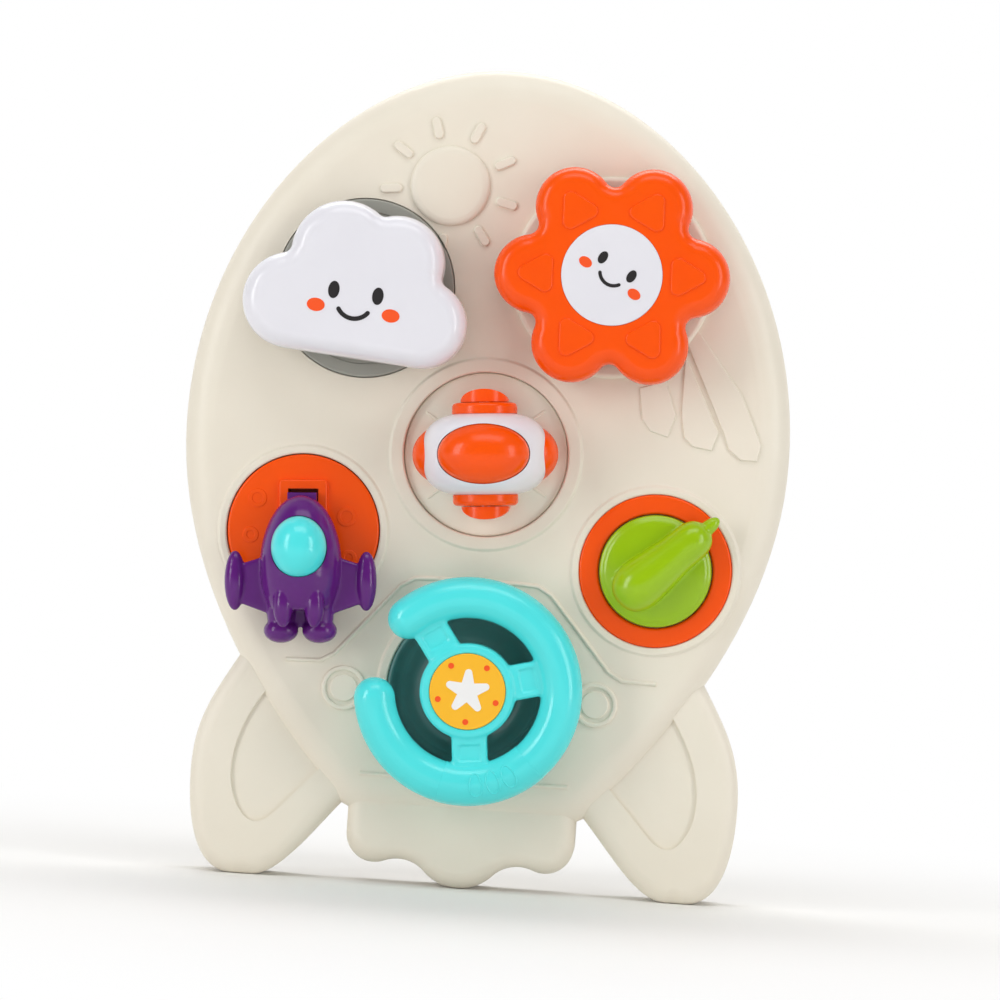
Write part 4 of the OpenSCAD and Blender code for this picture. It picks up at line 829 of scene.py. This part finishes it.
# %% Rim
RIM_R, TUBE_R, RIM_Z, TUBE_SIDES = 40.7, 9, 55, 40
GAP_FROM, GAP_TO, SPOKES = 146, 175, (14.4, 125, 275.6)
CAP = math.degrees(math.asin(TUBE_R / RIM_R))


def tube_ring(angle, radius=TUBE_R, push=0):
    """Ring round the rim's tube at an angle round the wheel; push shifts it along the rim."""
    a, ring = math.radians(angle), []
    for b in [2 * math.pi * i / TUBE_SIDES for i in range(TUBE_SIDES)]:
        reach = RIM_R + radius * math.cos(b)
        ring.append((reach * math.cos(a) - push * math.sin(a), reach * math.sin(a) + push * math.cos(a),
                     RIM_Z + radius * math.sin(b)))
    return ring


def swept(name, radius, start, end, steps):
    """Tube round the wheel from one angle to another, closed by flat ends."""
    return lofted(name, [tube_ring(start + (end - start) * k / steps, radius) for k in range(steps + 1)])


def rim_point(angle, round_tube, radius=TUBE_R + 0.1):
    """Point on the rim at an angle round the wheel and an angle round the tube."""
    a, b = math.radians(angle), math.radians(round_tube)
    return ((RIM_R + radius * math.cos(b)) * math.cos(a), (RIM_R + radius * math.cos(b)) * math.sin(a),
            RIM_Z + radius * math.sin(b))


def rim_end(angle, way):
    """Rings that close one end of the rim as half a ball."""
    return [tube_ring(angle, math.cos(t) * TUBE_R, math.sin(t) * TUBE_R * way) for t in quarter(9)[:-1]]


first, last = GAP_TO + CAP, GAP_FROM - CAP + 360
turns = 110
middle = [tube_ring(first + (last - first) * k / turns) for k in range(1, turns)]
wheel = lofted("wheel", rim_end(first, -1)[::-1] + middle + rim_end(last, 1))

# %% Hub, spokes and badge seat
BADGE_SEAT, BADGE_TOP = 59.3, 60.7
hub_rows = [(0, 44.5), (20.3, 44.5), (20.9, 45.1)]
hub_rows += [(18.6 + 2.3 * math.cos(a), 58.2 + 2.3 * math.sin(a)) for a in quarter(8)]
hub_rows += [(17.2, 60.5), (16.7, 60.1), (16.7, BADGE_SEAT), (0, BADGE_SEAT)]
forms = [wheel, turned("hub", hub_rows)]
for a in SPOKES:
    spoke = box("spoke", 10, RIM_R, -7.75, 7.75, 51, 59, 1.6, 5)
    solid(spoke, box("spoke_panel", 23, 30.5, -5.2, 5.2, 58, 62), "DIFFERENCE")
    forms.append(moved(spoke, turn=a))
wheel = joined(forms)
finish_modifier(wheel, "REMESH", mode="VOXEL", voxel_size=0.64)
finish_modifier(wheel, "SMOOTH", factor=0.5, iterations=5)
solid(wheel, turned("badge_seat", [(0, BADGE_SEAT), (16.7, BADGE_SEAT), (16.7, 64), (0, 64)]), "DIFFERENCE")
solid(wheel, turned("shaft_hole", [(0, 40), (8.1, 40), (8.1, 50.5), (0, 50.5)], 64), "DIFFERENCE")
settle(soft(wheel, 40), "steering_wheel_moulding", "wheel", "turquoise_plastic", turquoise_abs, ["steering_wheel"],
       *WHEEL_AT)
sleeve = [rounded(swept("sleeve", TUBE_R + 0.18, 257, 315, 40), 0.3, 2, 50)]
for a in (279, 289.5, 300):
    sleeve.append(line("grip_mark", [rim_point(a + math.degrees(u / RIM_R), 90 + math.degrees(v / TUBE_R))
                                     for u, v in oval(2.7, 5.2, 40)], 0.42, True))
settle(soft(joined(sleeve), 40), "wheel_rim_sleeve", "wheel", "turquoise_plastic", turquoise_abs, (), *WHEEL_AT)

# %% Badge with a plain star
badge = soft(turned("badge", puck(16.5, BADGE_SEAT, BADGE_TOP, 0.4, 0.2)))
settle(badge, "wheel_badge_disc", "wheel", "yellow_badge", yellow_print, ["wheel_badge"], *WHEEL_AT)
star = []
for k in range(5):
    star += arc(polar(8.2, 90 + 72 * k), 1.6, 90 + 72 * k - 70, 90 + 72 * k + 70, 8)
    star.append(polar(4.6, 126 + 72 * k))
settle(plate("star", star, BADGE_TOP, BADGE_TOP + INK), "badge_star", "wheel", "white_plastic", white_ink, (),
       *WHEEL_AT)
dots = [plate("dot", arc(polar(13.2, 54 + 72 * k), 1.3, 0, 345, 22), BADGE_TOP, BADGE_TOP + INK) for k in range(5)]
settle(joined(dots), "badge_dots", "wheel", "orange_plastic", orange_ink, (), *WHEEL_AT)

# %% Smoky dish under the wheel
bowl = [(9, 23), (22, 23)]
bowl += [(22 + 14.2 * math.sin(a), 23 + 14.9 * (1 - math.cos(a))) for a in quarter(12)[1:]]
bowl += [(35.4, 38.2), (34.6, 37.9), (33.9, 36.4), (32.6, 31), (30.4, 28.2), (29.6, 28.0), (28.8, 27.2), (26, 25.6),
         (22, 25), (9, 25)]
dish = rounded(turned("smoke", bowl), 0.4, 2, 30)
settle(soft(dish), "wheel_smoky_dish", "board", "smoke_dish", smoke_styrene, ["wheel_dish"], *WHEEL_AT)

# %% [markdown]
# ## Screws and the pieces that stay
# The hidden bearings keep their CAD solids and only take a finish. The ten screws in the back cover show from
# behind, so their heads are made again with a cross recess.

# %% Finishes of the CAD pieces
zinc_steel = moulded("zinc_plated_steel", "#C2C5C8", "#B4B8BC", 0.32, grain=2, depth=0.006)
zinc_steel.node_tree.nodes["Principled BSDF"].inputs["Metallic"].default_value = 1
by_slot = {"cream_shell": cream_abs, "grey_table": grey_abs, "white_plastic": white_abs,
           "orange_plastic": orange_abs, "purple_plastic": purple_abs, "turquoise_plastic": turquoise_abs,
           "green_plastic": green_abs, "smoke_dish": smoke_styrene, "yellow_badge": yellow_print,
           "zinc_steel": zinc_steel}
plain = {"back_cover": "cream_shell", "cloud_back": "white_plastic", "flower_back": "orange_plastic",
         "flower_hub": "orange_plastic", "plane_arm": "purple_plastic", "wheel_column": "turquoise_plastic"}
for name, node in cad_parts.items():
    slot = plain.get(name, "zinc_steel")
    node.data.materials.clear()
    node.data.materials.append(by_slot[slot])
print("CAD nodes with a plain finish:", len(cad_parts))

# %% Cover screws
POSTS = [(0, 338), (112, 222), (-112, 222), (88, 93), (-88, 93), (38, 44), (-38, 44), (101, 42), (-101, 42),
         (0, 20)]
head = turned("head", [(0, 0.2), (2.6, 0.2), (3.5, 0.9), (3.5, 2.1), (1.25, 2.1), (1.25, 15), (0, 15)], 48)
for turn in (0, 90):
    cross = box("cross", -2.0, 2.0, -0.45, 0.45, -1, 1.3)
    solid(head, moved(cross, turn=turn), "DIFFERENCE")
soft(head)
screws = [copied(head, x=x, y=y, turn=23 * k) for k, (x, y) in enumerate(POSTS)]
bpy.data.objects.remove(head)
settle(joined(screws), "cover_screw_heads", "board", "zinc_steel", zinc_steel, ["cover_screws"])

# %% [markdown]
# ## Floor, light and camera
# A product photograph on white: a pale floor that runs out into a white surround, and large soft lamps. The lamps
# stay at a plain level. The white comes from the floor's own colour, and for camera and mirror rays far from the
# toy from a plain white of strength 1, so that the shadow round the feet is kept.

# %% Floor
bpy.ops.mesh.primitive_plane_add(size=30)
floor = bpy.context.object
floor.name = "floor"
white_floor = bpy.data.materials.new("white_painted_floor")
white_floor.use_nodes = True
tree = white_floor.node_tree
paint = tree.nodes["Principled BSDF"]
paint.inputs["Base Color"].default_value = linear("#F4F3F1")
paint.inputs["Roughness"].default_value = 0.6
place = add(tree, "ShaderNodeTexCoord").outputs["Object"]
away = add(tree, "ShaderNodeVectorMath", {}, {0: place}, operation="LENGTH")
fade = add(tree, "ShaderNodeMapRange", {"From Min": 0.14, "From Max": 0.6}, {"Value": away.outputs["Value"]},
           interpolation_type="SMOOTHSTEP")
path = add(tree, "ShaderNodeLightPath")
seen = add(tree, "ShaderNodeMath", {}, {0: path.outputs["Is Camera Ray"], 1: path.outputs["Is Glossy Ray"]},
           operation="MAXIMUM")
seen = add(tree, "ShaderNodeMath", {}, {0: seen.outputs[0], 1: path.outputs["Is Transmission Ray"]},
           operation="MAXIMUM")
amount = add(tree, "ShaderNodeMath", {}, {0: seen.outputs[0], 1: fade.outputs["Result"]}, operation="MULTIPLY")
glow = add(tree, "ShaderNodeEmission", {"Color": (1, 1, 1, 1), "Strength": 1})
mix = add(tree, "ShaderNodeMixShader", {}, {0: amount.outputs[0], 1: paint.outputs[0], 2: glow.outputs[0]})
tree.links.new(mix.outputs[0], tree.nodes["Material Output"].inputs["Surface"])
floor.data.materials.append(white_floor)
print("floor:", white_floor.name)

# %% World and lamps
world = bpy.data.worlds.new("white_studio")
bpy.context.scene.world = world
world.use_nodes = True
tree = world.node_tree
path = add(tree, "ShaderNodeLightPath")
seen = add(tree, "ShaderNodeMath", {}, {0: path.outputs["Is Camera Ray"], 1: path.outputs["Is Transmission Ray"]},
           operation="MAXIMUM")
way = add(tree, "ShaderNodeSeparateXYZ", {}, {0: add(tree, "ShaderNodeTexCoord").outputs["Generated"]})
mirror = add(tree, "ShaderNodeMapRange", {"From Min": -0.2, "From Max": 0.5, "To Min": 0.1, "To Max": 1.0},
             {"Value": way.outputs["Y"]}, interpolation_type="SMOOTHSTEP")
room = add(tree, "ShaderNodeMix", {2: 0.36}, {0: path.outputs["Is Glossy Ray"], 3: mirror.outputs["Result"]})
level = add(tree, "ShaderNodeMath", {}, {0: room.outputs[0], 1: seen.outputs[0]}, operation="MAXIMUM")
tree.nodes["Background"].inputs["Color"].default_value = (1, 1, 1, 1)
tree.links.new(level.outputs[0], tree.nodes["Background"].inputs["Strength"])


def lamp(name, place, aim, size, watts):
    light = bpy.data.lights.new(name, "AREA")
    light.shape = "RECTANGLE"
    light.size, light.size_y = size
    light.energy = watts
    holder = bpy.data.objects.new(name, light)
    bpy.context.collection.objects.link(holder)
    holder.location = place
    way = Matrix.Translation(aim).translation - holder.location
    holder.rotation_euler = way.to_track_quat("-Z", "Y").to_euler()


lamp("left_strip", (-1.5, -1.2, 0.5), (0, 0, 0.16), (0.5, 1.6), 15)
lamp("right_strip", (1.6, -1.1, 0.45), (0, 0, 0.16), (0.5, 1.6), 12.5)
lamp("top_softbox", (0.1, -0.9, 1.9), (0, 0, 0.15), (1.6, 0.8), 11)
lamp("floor_softbox", (0, 0.7, 1.5), (0, 0.35, 0), (1.6, 0.6), 12)
print("lamps:", len(bpy.data.lights))

# %% Camera
CAMERA_AWAY, FRAME_W, SENSOR, ROLL, AZIMUTH, RISE = 2.4, 0.4366, 36, 3.9, 2.0, 0.0
aim = (0.0077, 0.0015, 0.1712)
camera_data = bpy.data.cameras.new("photo_camera")
camera_data.sensor_width = SENSOR
camera_data.lens = SENSOR * CAMERA_AWAY / FRAME_W
camera_data.clip_end = 60
camera = bpy.data.objects.new("photo_camera", camera_data)
bpy.context.collection.objects.link(camera)
side, up = math.radians(AZIMUTH), math.radians(RISE)
camera.location = (aim[0] + CAMERA_AWAY * math.sin(side) * math.cos(up),
                   aim[1] - CAMERA_AWAY * math.cos(side) * math.cos(up), aim[2] + CAMERA_AWAY * math.sin(up))
look = Matrix.Rotation(side, 4, "Z") @ Matrix.Rotation(math.pi / 2 - up, 4, "X") @ Matrix.Rotation(
    math.radians(ROLL), 4, "Z")
camera.rotation_euler = look.to_euler()
bpy.context.scene.camera = camera
bpy.context.scene.view_settings.view_transform = "Standard"
print("lens:", round(camera_data.lens, 1), "mm")

# %% Count the pieces made
print("pieces made:", len(made))
